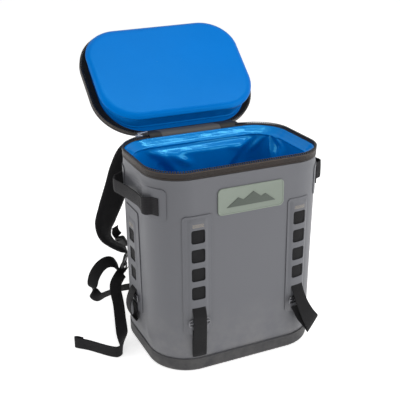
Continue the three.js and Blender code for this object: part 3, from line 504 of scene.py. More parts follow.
def thread(name, colour):
    material, tree, shader = finish(name, 0.7, sheen=0.2)
    place = coordinates(tree, "Object")
    mottle = use_group(tree, mottle_group, place, Scale=300.0, Amount=0.2)
    feed(tree, shader.inputs["Base Color"], tinted(tree, colour, mottle["Shade"]))
    bumped(tree, shader, noise_of(tree, place, 2400.0, 2.0), 0.0001, 0.6)
    return material


beige_thread = thread("beige_thread", (0.30, 0.265, 0.215))

# %% [markdown]
# ## Laying cloth on the body
#
# The body is a rounded rectangle that changes a little from foot to mouth. Cloth pieces are cut
# flat and then wrapped round it, so a place on the wall is given as a distance along the outline
# from the middle of the front, a height, and how far it stands off the wall. The lid has its own
# flat frame, laid back past upright about the hinge.

# %% The body's outline and the wall
HEIGHT = 420 * MM
MOUTH = {"width": 368 * MM, "depth": 236 * MM, "radius": 73 * MM}
FOOT = {"width": 353 * MM, "depth": 258 * MM, "radius": 80 * MM}


def section_at(z):
    share = z / HEIGHT
    return {key: FOOT[key] + (MOUTH[key] - FOOT[key]) * share for key in FOOT}


def grown(section, offset):
    return {"width": section["width"] + 2 * offset, "depth": section["depth"] + 2 * offset,
            "radius": section["radius"] + offset}


def perimeter(section):
    straight = section["width"] + section["depth"] - 4 * section["radius"]
    return 2 * straight + 2 * math.pi * section["radius"]


def outline_parts(section):
    """Half the front's straight run, a corner's arc and a side's straight run."""
    return (section["width"] / 2 - section["radius"], section["radius"] * math.pi / 2,
            section["depth"] - 2 * section["radius"])


def along_outline(section, distance):
    """The place at a distance from the front's middle and the way out, for one outline."""
    radius = section["radius"]
    half_x = section["width"] / 2
    half_y = section["depth"] / 2
    front, arc, side = outline_parts(section)
    hand = -1 if distance < 0 else 1
    s = abs(distance)
    if s <= front:
        x, y, out = s, -half_y, (0, -1)
    elif s <= front + arc:
        turn = (s - front) / radius
        out = (math.sin(turn), -math.cos(turn))
        x, y = front + radius * out[0], radius - half_y + radius * out[1]
    elif s <= front + arc + side:
        x, y, out = half_x, radius - half_y + s - front - arc, (1, 0)
    elif s <= front + 2 * arc + side:
        turn = (s - front - arc - side) / radius
        out = (math.cos(turn), math.sin(turn))
        x, y = front + radius * out[0], half_y - radius + radius * out[1]
    else:
        x, y, out = front - (s - front - 2 * arc - side), half_y, (0, 1)
    return hand * x, y, (hand * out[0], out[1])


def on_wall(along, z, offset=0.0):
    x, y, out = along_outline(section_at(z), along)
    return Vector((x + out[0] * offset, y + out[1] * offset, z))


def wall_axes(along, z):
    """Across, up and out at a place on the wall."""
    up = (on_wall(along, z + MM) - on_wall(along, z - MM)).normalized()
    _, _, out = along_outline(section_at(z), along)
    across_way = up.cross(Vector((out[0], out[1], 0))).normalized()
    return across_way, up, across_way.cross(up)


print("mouth outline", round(perimeter(MOUTH), 4), "m")

# %% The lid's frame
LID = {"width": 375 * MM, "depth": 275 * MM, "radius": 98 * MM}
LID_TWIST = 7 * MM
LID_RAISE = 3.5 * MM
LID_TAPE_HEIGHT = 10 * MM
HINGE_GAP = 12.6 * MM
LID_ANGLE = math.radians(140)
HINGE = Vector((0, 150 * MM, 403 * MM))
LID_OUT = Vector((0, -math.cos(LID_ANGLE), math.sin(LID_ANGLE)))
LID_FACE = Vector((0, -math.sin(LID_ANGLE), -math.cos(LID_ANGLE)))
LID_MIDDLE = HINGE_GAP + LID["depth"] / 2


def on_lid(x, u, n):
    """A place on the lid: across, away from the hinge and out of the cushion's face."""
    lift = (LID_RAISE + LID_TWIST * x / (LID["width"] / 2)) * u / (HINGE_GAP + LID["depth"])
    return Vector((x, 0, 0)) + HINGE + LID_OUT * u + LID_FACE * (n + lift)


def lay_on_lid(piece):
    """Moves the points of a piece made flat round the origin onto the lid, twist and all."""
    for vertex in piece.data.vertices:
        vertex.co = on_lid(vertex.co.x, LID_MIDDLE + vertex.co.y, vertex.co.z)
    piece.data.update()


# %% Cloth cut flat and laid by a rule
def laid_cloth(columns, rows, place, size=(1.0, 1.0), closed=False):
    """A grid whose corners are laid where place(u, v) says; its UV map keeps the flat size."""
    deselect()
    bpy.ops.mesh.primitive_grid_add(x_subdivisions=columns, y_subdivisions=rows, size=1.0)
    piece = bpy.context.object
    flat = [(vertex.co.x + 0.5, vertex.co.y + 0.5) for vertex in piece.data.vertices]
    for loop_item in piece.data.loops:
        u, v = flat[loop_item.vertex_index]
        piece.data.uv_layers[0].data[loop_item.index].uv = (u * size[0], v * size[1])
    for vertex, (u, v) in zip(piece.data.vertices, flat):
        vertex.co = place(u, v)
    if closed:
        edit(piece, "VERT")
        bpy.ops.mesh.select_all(action="SELECT")
        bpy.ops.mesh.remove_doubles(threshold=1e-7)
        close_edit()
    return piece


def close_ends(piece):
    edit(piece, "EDGE")
    bpy.ops.mesh.select_non_manifold(extend=False)
    bpy.ops.mesh.fill_holes(sides=0)
    bpy.ops.mesh.select_all(action="SELECT")
    bpy.ops.mesh.normals_make_consistent(inside=False)
    close_edit()


def thickened(piece, thickness, way=1.0, bevel=0.0, segments=2):
    """Gives a laid cloth its thickness, outwards for way 1, and softens its cut edges."""
    solid = piece.modifiers.new("thickness", "SOLIDIFY")
    solid.thickness = thickness
    solid.offset = way
    solid.use_even_offset = True
    if bevel:
        soft = piece.modifiers.new("edges", "BEVEL")
        soft.width = bevel
        soft.segments = segments
        soft.limit_method = "ANGLE"
        soft.angle_limit = math.radians(50)
    apply_all(piece)
    return piece


# %% Profiles carried round an outline
def rolled(profile, stations, place, length, closed=True):
    """A skin made by carrying a profile of rows round the stations of an outline."""
    count = len(profile) - 1
    steps = len(stations) - 1

    def at(u, v):
        return place(stations[round(u * steps)], profile[round(v * count)])

    return laid_cloth(steps, count, at, (length, 0.4), closed)


def dense(profile, limit):
    """Adds rows to a profile wherever two of them are further apart than the limit."""
    rows = [profile[0]]
    for before, after in zip(profile, profile[1:]):
        run = math.hypot(after[0] - before[0], after[1] - before[1])
        parts = max(1, math.ceil(run / limit))
        for i in range(1, parts + 1):
            share = i / parts
            rows.append((before[0] + (after[0] - before[0]) * share,
                         before[1] + (after[1] - before[1]) * share))
    return rows


def ring_point(section, share, offset=0.0, z=0.0):
    """A place at a share of the way round a section, grown by an offset, at a height."""
    wide = grown(section, offset)
    x, y, _ = along_outline(wide, perimeter(wide) * (share - 0.5))
    return Vector((x, y, z))


def round_body(name_rows, steps, relief=None):
    """A closed skin round the body from rows of (height, offset)."""
    def place(share, row):
        z, offset = row
        section = section_at(z)
        if relief:
            offset += relief(perimeter(section) * (share - 0.5), z)
        return ring_point(section, share, offset, z)
    stations = [i / steps for i in range(steps + 1)]
    return rolled(name_rows, stations, place, perimeter(MOUTH))


# %% [markdown]
# ## The grey shell
#
# On the real cooler this is coated fabric over foam, welded into a tub. It could be a box with
# rounded corners, but its walls are soft: they puff out a little above the tray and ease in and
# out. So a profile of the wall is carried round the outline in small steps, and a slow noise and
# a table of creases move it by a millimetre or two.

# %% Shell
ZIP_TAPE_HEIGHT = 14 * MM
ZIP_BOTTOM = HEIGHT - 3.4 * MM - 0.4 * MM - ZIP_TAPE_HEIGHT
TRAY_HEIGHT = 29 * MM
CREASES = [
    {"from": (-270, 394), "to": (-164, 370), "width": 6, "depth": 2.6},
    {"from": (-262, 378), "to": (-176, 354), "width": 7, "depth": -2.0},
    {"from": (-236, 366), "to": (-186, 350), "width": 6, "depth": 1.2},
    {"from": (-60, 394), "to": (20, 388), "width": 6, "depth": -0.7},
    {"from": (90, 388), "to": (150, 380), "width": 7, "depth": 0.8},
    {"from": (-236, 90), "to": (-222, 40), "width": 8, "depth": 1.2},
    {"from": (-150, 60), "to": (-112, 92), "width": 12, "depth": -1.1},
    {"from": (200, 385), "to": (300, 372), "width": 8, "depth": 1.2},
    {"from": (-420, 388), "to": (-330, 378), "width": 8, "depth": 1.2},
]


def crease_height(rows, along, z):
    """How far the creases of a table lift the cloth at a place, fading at both their ends."""
    total = 0.0
    for row in rows:
        start = Vector(row["from"]) * MM
        run = Vector(row["to"]) * MM - start
        offset = Vector((along, z)) - start
        share = offset.dot(run) / run.length_squared
        if not -0.1 < share < 1.1:
            continue
        side = (offset - run * share).length / (row["width"] * MM)
        fade = lobe(share, -0.1, 1.1)
        total += row["depth"] * MM * fade * math.exp(-side * side)
    return total


def shell_relief(along, z):
    if z < TRAY_HEIGHT - 4 * MM or z > ZIP_BOTTOM - 1 * MM:
        return 0.0
    slow = noise.noise(Vector((along * 9, z * 7, 2.3)))
    puff = 0.7 * MM * lobe(z, TRAY_HEIGHT - 4 * MM, TRAY_HEIGHT + 60 * MM)
    pinch = -0.5 * MM * lobe(z, ZIP_BOTTOM - 16 * MM, ZIP_BOTTOM)
    return slow * 0.45 * MM + puff + pinch + crease_height(CREASES, along, z)


bare = [(2.6, -6), (8.6, 0), (395, 0), (401.4, -0.3), (401.8, -3), (407, -3), (387, -18),
        (36, -18), (22, -32)]
shell_rows = dense([(z * MM, offset * MM) for z, offset in bare], 6 * MM)
shell = round_body(shell_rows, 300, shell_relief)
close_ends(shell)
dress(shell, "shell_skin", grey_fabric, "shell_fabric", "shell", degrees=50)

# %% [markdown]
# ## The base tray
#
# A hard moulded tray holds the foot. It is modelled as a maker would: a plate with its four
# corners rounded, raised into a block, its lower edge rolled with a bevel, and the inside of the
# top pushed down so that a thin wall stands round the cloth.

# %% Tray
def rounded_plate(width, depth, radius, segments=24):
    """A flat face with rounded corners, standing on z = 0."""
    deselect()
    bpy.ops.mesh.primitive_plane_add(size=1.0)
    piece = bpy.context.object
    piece.scale = (width, depth, 1)
    settle(piece)
    edit(piece, "VERT")
    bpy.ops.mesh.select_all(action="SELECT")
    bpy.ops.mesh.bevel(offset=radius, segments=segments, affect="VERTICES", offset_type="OFFSET")
    close_edit()
    return piece


def raised(piece, height):
    """Extrudes all faces of an open plate upwards and closes it as a block."""
    edit(piece, "FACE")
    bpy.ops.mesh.select_all(action="SELECT")
    bpy.ops.mesh.extrude_region_move(TRANSFORM_OT_translate={"value": (0, 0, height)})
    bpy.ops.mesh.select_all(action="SELECT")
    bpy.ops.mesh.normals_make_consistent(inside=False)
    close_edit()
    return piece


def bevel_edges(piece, wanted, width, segments=3, profile=0.5):
    """Bevels the edges for which wanted(edge) is true."""
    edit(piece, "EDGE")
    select_where(piece, wanted, "edges")
    bpy.ops.mesh.bevel(offset=width, segments=segments, profile=profile, affect="EDGES")
    close_edit()
    return piece


def level_edge(z, tolerance=1e-5):
    return lambda item: all(abs(vertex.co.z - z) < tolerance for vertex in item.verts)


TRAY_OUT = 2.2 * MM
tray = raised(rounded_plate(FOOT["width"] + 2 * TRAY_OUT, FOOT["depth"] + 2 * TRAY_OUT,
                            FOOT["radius"] + TRAY_OUT, 32), TRAY_HEIGHT)
bevel_edges(tray, level_edge(0.0), 7 * MM, 6)
edit(tray, "FACE")
select_where(tray, lambda face: face.normal.z > 0.9 and face.calc_center_median().z > 0.9 * TRAY_HEIGHT)
bpy.ops.mesh.inset(thickness=1.9 * MM)
bpy.ops.transform.translate(value=(0, 0, -(TRAY_HEIGHT - 2.2 * MM - 6 * MM)))
bpy.ops.mesh.inset(thickness=6 * MM)
bpy.ops.transform.translate(value=(0, 0, -6 * MM))
close_edit()
bevel_edges(tray, level_edge(TRAY_HEIGHT), 0.7 * MM, 3)
dress(tray, "moulded_tray", tray_rubber, "base_rubber", "base_tray", degrees=30)

# %% [markdown]
# ## The liner
#
# The blue liner is a loose film tub. It is welded to the mouth along a bead about 20 mm below
# the rim, and below that it sags away from the foam in one long bulge at the back and in sharp
# folds at its ends. A simulation would put its folds anywhere, so the folds seen in the photo
# are written in two tables: broad bulges, and creases that run from one place to another.

# %% Liner
BULGES = [
    {"from": 384, "to": 684, "bottom": 120, "top": 393, "shelf": 11, "ramp": 26, "slant": 1.0, "depth": 15},
    {"from": 270, "to": 372, "bottom": 150, "top": 392, "shelf": 30, "ramp": 34, "slant": 0.3, "depth": 8},
    {"from": -392, "to": -250, "bottom": 170, "top": 391, "shelf": 16, "ramp": 40, "slant": 0.4,
     "depth": 9},
    {"from": -90, "to": 70, "bottom": 150, "top": 388, "shelf": 40, "ramp": 60, "slant": 0, "depth": 9},
    {"from": 100, "to": 240, "bottom": 120, "top": 392, "shelf": 40, "ramp": 60, "slant": 0, "depth": 6},
]
SLANT_REACH = 62 * MM
LINER_CREASES = [
    {"from": (356, 402), "to": (326, 320), "width": 4.5, "depth": 7},
    {"from": (352, 401), "to": (300, 384), "width": 4, "depth": 5},
    {"from": (360, 400), "to": (412, 352), "width": 6, "depth": 7},
    {"from": (372, 392), "to": (366, 340), "width": 7, "depth": -6},
    {"from": (340, 392), "to": (312, 356), "width": 6, "depth": -4},
    {"from": (400, 372), "to": (470, 384), "width": 8, "depth": 4},
    {"from": (-448, 382), "to": (-520, 352), "width": 8, "depth": 7},
    {"from": (-440, 386), "to": (-410, 330), "width": 9, "depth": 5},
    {"from": (-455, 366), "to": (-430, 300), "width": 12, "depth": -8},
    {"from": (-300, 388), "to": (-330, 300), "width": 7, "depth": 5},
    {"from": (-180, 392), "to": (-200, 320), "width": 6, "depth": 5},
    {"from": (60, 386), "to": (30, 300), "width": 7, "depth": 4},
    {"from": (520, 300), "to": (600, 250), "width": 14, "depth": 6},
    {"from": (-120, 250), "to": (40, 190), "width": 12, "depth": 6},
]
MOUTH_HALF = perimeter(MOUTH) / 2


def bulge_height(row, along, z):
    """A bulge with a shelf at its top and ends that slant in below it."""
    top = row["top"] * MM
    drop = min(max(top - z, 0.0), SLANT_REACH) * row["slant"]
    start = row["from"] * MM + drop
    end = row["to"] * MM - drop
    ramp = row["ramp"] * MM
    across_share = smoothstep(along, start, start + ramp) * (1 - smoothstep(along, end - ramp, end))
    rise = smoothstep(z, row["bottom"] * MM, top - 60 * MM)
    fall = 1 - smoothstep(z, top - row["shelf"] * MM, top)
    return row["depth"] * MM * across_share * rise * fall


def liner_inward(along, z):
    """How far the liner sags in from the foam at a place."""
    total = 0.0
    for turn in (0.0, -2 * MOUTH_HALF, 2 * MOUTH_HALF):
        place = along + turn
        for row in BULGES:
            total += bulge_height(row, place, z)
        total += crease_height(LINER_CREASES, place, z)
    turn = along / MOUTH_HALF * math.pi
    ripple = noise.noise(Vector((math.cos(turn) * 2, math.sin(turn) * 2, z * 16)))
    total += ripple * 1.6 * MM * smoothstep(z, 30 * MM, 120 * MM) * (1 - smoothstep(z, 384 * MM, 398 * MM))
    return max(total, 0.0)


def liner_relief(along, z):
    if z < 60 * MM or z > 401 * MM:
        return 0.0
    return -liner_inward(along, z)


inner = [(23.9, -34), (38.5, -20.2), (386, -20.2), (393.5, -19.8), (395.6, -19.2), (396.6, -20.6),
         (398, -21.4), (399.4, -20.8), (400.6, -18.8), (401.6, -17.0), (404, -14.6), (409, -8.8),
         (413, -4.9)]
outer = [(412.9, -3.5), (405, -9), (388, -18.7), (37, -18.7), (22.5, -32.6)]
liner_rows = dense([(z * MM, offset * MM) for z, offset in inner], 4.5 * MM)
liner_rows += dense([(z * MM, offset * MM) for z, offset in outer], 20 * MM)
INNER_COUNT = len(dense([(z * MM, offset * MM) for z, offset in inner], 4.5 * MM))


def liner_place(share, index):
    z, offset = liner_rows[index]
    section = section_at(z)
    if index < INNER_COUNT:
        offset += liner_relief(2 * MOUTH_HALF * (share - 0.5), z)
    return ring_point(section, share, offset, z)


LINER_STEPS = 330
liner = rolled(list(range(len(liner_rows))), [i / LINER_STEPS for i in range(LINER_STEPS + 1)],
               liner_place, perimeter(MOUTH))
close_ends(liner)
dress(liner, "film_liner", liner_film, "liner_film", "liner", degrees=70)

# %% [markdown]
# ## The zip
#
# A tape is sewn to the mouth and to the lid, and each carries a row of teeth. One tooth is
# modelled: a small block with softened edges. An Array repeats it along a straight line and a
# Curve modifier bends the row round the mouth, so that the pitch stays even in the corners.

# %% Tapes
ZIP_END_X = 104.2 * MM
TOOTH_HEIGHT = 3.4 * MM


def open_stations(section, count):
    """Distances round an outline that stop short of the hinge at both ends."""
    front = section["width"] / 2 - section["radius"]
    end = perimeter(section) / 2 - ZIP_END_X
    print("zip length", round(2 * end, 3), "m, front half", round(front, 3))
    return [end * (2 * i / count - 1) for i in range(count + 1)]


def tape_profile(low, high):
    """A folded tape: flat outside, with a raised edge by the teeth and a rounded lower edge."""
    return [(low, -2.0 * MM), (low, -0.4 * MM), (low + 0.6 * MM, 0.0), (low + 3.2 * MM, 0.15 * MM),
            (low + 3.9 * MM, -0.25 * MM), (low + 4.6 * MM, 0.15 * MM), (high - 3.2 * MM, 0.1 * MM),
            (high - 2.2 * MM, 0.55 * MM), (high - 0.8 * MM, 0.5 * MM), (high, -0.2 * MM),
            (high, -2.0 * MM), (low, -2.0 * MM)]


def build_tape(name, place, section, low, high, node):
    stations = open_stations(section, 260)
    profile = tape_profile(low, high)
    piece = rolled(profile, stations, place, stations[-1] - stations[0])
    close_ends(piece)
    return dress(piece, name, zip_tape, "zip_tape", node, degrees=35)


def place_on_mouth(along, row):
    return on_wall(along, row[0], row[1])


def place_on_lid_edge(along, row):
    x, y, out = along_outline(LID, along)
    return on_lid(x + out[0] * row[1], LID_MIDDLE - y - out[1] * row[1], row[0])


TAPE_TOP = HEIGHT - TOOTH_HEIGHT - 0.4 * MM
LID_TAPE_TOP = -TOOTH_HEIGHT / 2 - 0.4 * MM
build_tape("mouth_zip_tape", place_on_mouth, section_at(HEIGHT), ZIP_BOTTOM, TAPE_TOP, "zip_tape_body")
build_tape("lid_zip_tape", place_on_lid_edge, LID, LID_TAPE_TOP - LID_TAPE_HEIGHT, LID_TAPE_TOP,
           "zip_tape_lid")

# %% Teeth
TOOTH_PITCH = 4.8 * MM
TOOTH_INSET = 1.75 * MM


def build_teeth(name, section, level, finish_place, node):
    """A row of teeth bent round an outline, made flat in the plane of the outline."""
    deselect()
    bpy.ops.mesh.primitive_cube_add(size=1.0)
    tooth = bpy.context.object
    tooth.scale = (2.5 * MM, 4.8 * MM, 3.4 * MM)
    settle(tooth)
    edit(tooth, "FACE")
    select_where(tooth, lambda face: face.normal.y > 0.9)
    bpy.ops.transform.resize(value=(1.25, 1, 0.75))
    bpy.ops.mesh.select_all(action="SELECT")
    bpy.ops.mesh.bevel(offset=0.45 * MM, segments=1, affect="EDGES")
    close_edit()
    stations = open_stations(section, 400)
    length = stations[-1] - stations[0]
    line = bpy.data.curves.new("rail", "CURVE")
    line.dimensions = "3D"
    spline = line.splines.new("POLY")
    spline.points.add(len(stations) - 1)
    for point, along in zip(spline.points, stations):
        x, y, out = along_outline(section, along)
        point.co = (x - out[0] * TOOTH_INSET, y - out[1] * TOOTH_INSET, level, 1)
    rail = bpy.data.objects.new("rail", line)
    bpy.context.scene.collection.objects.link(rail)
    row = tooth.modifiers.new("row", "ARRAY")
    row.count = int(length / TOOTH_PITCH)
    row.use_relative_offset = False
    row.use_constant_offset = True
    row.constant_offset_displace = (length / row.count, 0, 0)
    bend = tooth.modifiers.new("bend", "CURVE")
    bend.object = rail
    bend.deform_axis = "POS_X"
    print(name, row.count, "teeth")
    apply_all(tooth)
    bpy.data.objects.remove(rail)
    finish_place(tooth)
    return dress(tooth, name, zip_tooth, "zip_teeth", node, degrees=30)


build_teeth("mouth_zip_teeth", section_at(HEIGHT), HEIGHT - TOOTH_HEIGHT / 2, lambda piece: None,
            "zip_teeth_body")


def turn_to_lid(piece):
    """The lid's outline has its front at the far edge, so the flat row is turned over first."""
    piece.matrix_world = Matrix.Scale(-1, 4, Vector((0, 1, 0)))
    settle(piece)
    edit(piece, "FACE")
    bpy.ops.mesh.select_all(action="SELECT")
    bpy.ops.mesh.normals_make_consistent(inside=False)
    close_edit()
    lay_on_lid(piece)


build_teeth("lid_zip_teeth", LID, 0.0, turn_to_lid, "zip_teeth_lid")

# %% [markdown]
# ## The lid
#
# The lid is a grey shell with a soft rolled edge, a thin blue flange welded along its rim, a
# black tape that binds the flange, and the deep blue cushion that plugs the mouth. The tape is
# made wide at the sides, and that extra black is painted shade in the channel beside the
# cushion. All are made lying flat and then laid on the lid's frame. The cushion could be a block
# with a wide bevel, but its film has a weld at its foot and another round its crown, and its wall
# leans in at the sides. So a profile with both beads is carried round its outline, and noise
# eases the wall in and out as film over foam is.

# %% Lid shell and flange
BACK_ROWS = [(-6.0, 3.1), (-12.3, 3.0), (-12.6, 0.5), (-13.0, 0.2), (-14.6, 1.0),
             (-16.4, 2.7), (-18.2, 5.6), (-19.6, 9.4), (-20.6, 14), (-21.3, 20), (-21.8, 28), (-22.1, 38)]
BACK_MIDDLE = [(-22.1 - i * 0.05, 38 + i * 12.5) for i in range(1, 9)]


def back_place(share, row):
    inset = min(row[1], 38) * MM
    shrink = 1 - max(row[1] - 38, 0) / 104
    outline = grown(LID, -inset)
    x, y, _ = along_outline(outline, perimeter(outline) * (share - 0.5))
    x, y = x * shrink, y * shrink
    puff = 0.7 * MM * noise.noise(Vector((x * 11, y * 11, 2.0))) if row[0] < -19 else 0.0
    return Vector((x, y, row[0] * MM + puff))


back_rows = dense(BACK_ROWS, 4) + BACK_MIDDLE
back = rolled(back_rows, [i / 240 for i in range(241)], back_place, 1.1)
close_ends(back)
tidy_normals(back)
lay_on_lid(back)
dress(back, "lid_back", grey_fabric, "shell_fabric", "lid_shell", degrees=60)

FLANGE = {"inset": 3.4 * MM, "bottom": -5.6 * MM, "thick": 1.5 * MM, "edge": 0.6 * MM}
flange = rounded_plate(LID["width"] - 2 * FLANGE["inset"], LID["depth"] - 2 * FLANGE["inset"],
                       LID["radius"] - FLANGE["inset"], 30)
raised(flange, FLANGE["thick"])
flange.location = (0, 0, FLANGE["bottom"])
settle(flange)
bevel_edges(flange, level_edge(FLANGE["bottom"] + FLANGE["thick"]), FLANGE["edge"], 3)
lay_on_lid(flange)
dress(flange, "lid_flange", cushion_film, "cushion_film", "lid_facing", degrees=35)

# %% Lid binding tape, widened at the sides as painted shade
BINDING_AND_SHADE_ROWS = [(-4.0, 0.0), (-3.3, 0.0), (-2.9, 0.04), (-2.8, 0.3), (-2.8, 0.9), (-3.0, 0.97), (-3.3, 1.0),
                (-4.0, 1.0), (-4.0, 0.0)]


def binding_and_shade_place(share, row):
    """A flat black tape on the flange: narrow beyond the cushion and by the hinge, and wide at the sides as
    painted shade in the channel beside the cushion.
    """
    rim = grown(LID, -3.6 * MM)
    x, y, out = along_outline(rim, perimeter(rim) * (share - 0.5))
    # The extra width at the sides is painted shade: black tape laid where the channel beside the cushion is
    # only in shade.
    wide = 2.6 * MM + 11 * MM * abs(out[0]) ** 1.3 + 1.6 * MM * max(out[1], 0.0)
    reach = wide * row[1]
    return Vector((x - out[0] * reach, y - out[1] * reach, row[0] * MM))


binding_and_shade = rolled(BINDING_AND_SHADE_ROWS, [i / 240 for i in range(241)], binding_and_shade_place, 1.1)
tidy_normals(binding_and_shade)
lay_on_lid(binding_and_shade)
dress(binding_and_shade, "lid_binding_and_shade", binding_and_shade_tape, "webbing", degrees=40)

# %% Lid cushion
PAD = {"side": 8, "near": 16, "far": 10, "radius": 80, "height": 38}
PAD_FOOT = -3.7 * MM
pad_width = LID["width"] - 2 * PAD["side"] * MM
pad_depth = LID["depth"] - (PAD["near"] + PAD["far"]) * MM
pad_shift = (PAD["near"] - PAD["far"]) / 2 * MM
PAD_PROFILE_ROWS = [(0, 1.0), (0.6, 0.0), (1.8, -0.3), (2.8, 0.6), (3.4, 2.2), (12, 2.6), (22, 2.4),
                    (28.6, 2.0), (29.4, 0.9), (30.6, 0.5), (31.8, 1.0), (32.6, 2.3), (34.4, 3.9),
                    (36.0, 6.2), (37.2, 9.2), (37.9, 13), (38.1, 18), (38.2, 24), (38.3, 34), (38.5, 44)]
UNDERCUT = 11 * MM
FAR_LEAN = 8 * MM


def cushion_place(share, row):
    rise, inset = row[0] * MM, min(row[1], 44) * MM
    shrink = 1 - max(row[1] - 44, 0) / 100
    outline = grown({"width": pad_width, "depth": pad_depth, "radius": PAD["radius"] * MM}, -inset)
    x, y, out = along_outline(outline, perimeter(outline) * (share - 0.5))
    x, y = x * shrink, y * shrink
    side_share = lobe(rise, 2 * MM, 28 * MM)
    wave = noise.noise(Vector((x * 34, y * 34, rise * 12))) * 2.0 * MM * side_share
    wave -= UNDERCUT * abs(out[0]) ** 1.5 * (1 - smoothstep(rise, 0.0, 29 * MM))
    wave -= FAR_LEAN * max(out[1], 0.0) ** 1.5 * smoothstep(rise, 0.0, 30 * MM)
    slow = noise.noise(Vector((x * 7, y * 7, 4.0))) * 0.8 * MM * smoothstep(rise, 33 * MM, 38 * MM)
    return Vector((x + out[0] * wave, y + out[1] * wave, PAD_FOOT + rise + slow))


cushion_rows = dense(PAD_PROFILE_ROWS, 5) + [(38.6 + i * 0.05, 44 + i * 12.2) for i in range(1, 9)]
cushion = rolled(cushion_rows, [i / 260 for i in range(261)], cushion_place, 1.1)
close_ends(cushion)
cushion.matrix_world = Matrix.Translation((0, pad_shift, 0))
settle(cushion)
tidy_normals(cushion)
lay_on_lid(cushion)
dress(cushion, "lid_cushion_film", cushion_film, "cushion_film", "lid_cushion", degrees=60)


# %% [markdown]
# ## Patches and webbing
#
# A patch is a sheet of the same fabric, welded down over a run of webbing, with windows cut in
# it so that the webbing shows. It could be a box with holes, but the real one rises over the
# webbing and lies down between the windows at its edges. So a fine grid is cut to the outline
# and the rounded windows, the cut edges are moved onto their curves, and each point takes its
# height from where it lies.

# %% Rounded shapes on a flat cloth
WEBBING_WIDTH = 27 * MM
WINDOW = {"width": 27 * MM, "height": 27 * MM}
WINDOW_MIDDLE = 15 * MM
PATCH_BOTTOM = 85 * MM
PATCH_LIFT = 2.5 * MM
LASH_POINTS = [
    {"name": "front_left", "along": -104, "half": 30.5, "top": 331, "first": 305, "pitch": 39,
     "windows": 4, "loop": "flat"},
    {"name": "front_right", "along": 115, "half": 26, "top": 331, "first": 305, "pitch": 39,
     "windows": 4, "loop": "pulled"},
    {"name": "side_left", "along": -288, "half": 34, "top": 310, "first": 266, "pitch": 42,
     "windows": 3, "loop": "bowed"},
    {"name": "side_right", "along": 288, "half": 34, "top": 310, "first": 266, "pitch": 42,
     "windows": 3, "loop": "bowed"},
]


def box_distance(point, middle, half, radius):
    """How far a flat point lies outside a rounded rectangle; negative inside."""
    dx = abs(point[0] - middle[0]) - half[0] + radius
    dy = abs(point[1] - middle[1]) - half[1] + radius
    return math.hypot(max(dx, 0), max(dy, 0)) + min(max(dx, dy), 0) - radius


def snapped(point, middle, half, radius):
    """The point moved straight onto the edge of a rounded rectangle."""
    step = 1e-5
    gap = box_distance(point, middle, half, radius)
    run_x = box_distance((point[0] + step, point[1]), middle, half, radius) - gap
    run_y = box_distance((point[0], point[1] + step), middle, half, radius) - gap
    size = math.hypot(run_x, run_y) or 1.0
    return (point[0] - gap * run_x / size, point[1] - gap * run_y / size)


def cut_cloth(half_width, bottom, top, cell, radius, windows, window_radius):
    """A flat cloth in x and y with rounded corners and windows, its cut edges on their curves."""
    columns = round(2 * half_width / cell)
    rows = round((top - bottom) / cell)
    deselect()
    bpy.ops.mesh.primitive_grid_add(x_subdivisions=columns, y_subdivisions=rows, size=1.0)
    piece = bpy.context.object
    middle = (0.0, (bottom + top) / 2)
    half = (half_width, (top - bottom) / 2)
    piece.scale = (2 * half_width, top - bottom, 1)
    piece.location = (0, middle[1], 0)
    settle(piece)
    shapes = [(window, (WINDOW["width"] / 2, WINDOW["height"] / 2), window_radius) for window in windows]

    def is_waste(face):
        spot = face.calc_center_median()
        outside = box_distance((spot.x, spot.y), middle, half, radius) > 0
        return outside or any(box_distance((spot.x, spot.y), *shape) < 0 for shape in shapes)

    edit(piece, "FACE")
    select_where(piece, is_waste)
    bpy.ops.mesh.delete(type="FACE")
    close_edit()
    shape_list = [(middle, half, radius)] + shapes
    mesh = bmesh.new()
    mesh.from_mesh(piece.data)
    for vertex in mesh.verts:
        if not vertex.is_boundary:
            continue
        spot = (vertex.co.x, vertex.co.y)
        nearest = min(shape_list, key=lambda shape: abs(box_distance(spot, *shape)))
        vertex.co.x, vertex.co.y = snapped(spot, *nearest)
    mesh.to_mesh(piece.data)
    mesh.free()
    return piece


def lay_cloth(piece, lay):
    """Keeps the flat shape as the UV map in metres, then lays each point where lay(x, y) says."""
    flat = [(vertex.co.x, vertex.co.y) for vertex in piece.data.vertices]
    layer = piece.data.uv_layers[0].data if piece.data.uv_layers else piece.data.uv_layers.new().data
    for corner in piece.data.loops:
        layer[corner.index].uv = flat[corner.vertex_index]
    for vertex, (x, y) in zip(piece.data.vertices, flat):
        vertex.co = lay(x, y)
    return piece


# %% Patches with windows
def patch_height(x, z, point, windows):
    """Height of a patch's underside over the wall: up over the webbing, down at its edges."""
    half = point["half"] * MM
    over = 1 - smoothstep(abs(x), 14.2 * MM, 14.2 * MM + 7 * MM)
    top = point["top"] * MM
    start = (point["first"] + 14) * MM
    ends = 1 - smoothstep(z, start, start + 7 * MM)
    ends *= smoothstep(z, PATCH_BOTTOM - 4 * MM, PATCH_BOTTOM + 3 * MM) * 0.35 + 0.65
    outline = box_distance((x, z), (0, (PATCH_BOTTOM + top) / 2), (half, (top - PATCH_BOTTOM) / 2), 7 * MM)
    weld = -0.55 * MM * lobe(outline, -5.2 * MM, -2.2 * MM)
    hole = min(box_distance((x, z), window, (WINDOW["width"] / 2, WINDOW["height"] / 2), 4 * MM)
               for window in windows)
    rim = 0.35 * MM * (1 - smoothstep(hole, 0.3 * MM, 2.4 * MM))
    slow = 0.25 * MM * noise.noise(Vector((x * 60, z * 45, point["along"])))
    return 0.45 * MM + (PATCH_LIFT - 0.45 * MM) * over * ends + max(weld, -0.4 * MM) + rim + max(slow, 0)


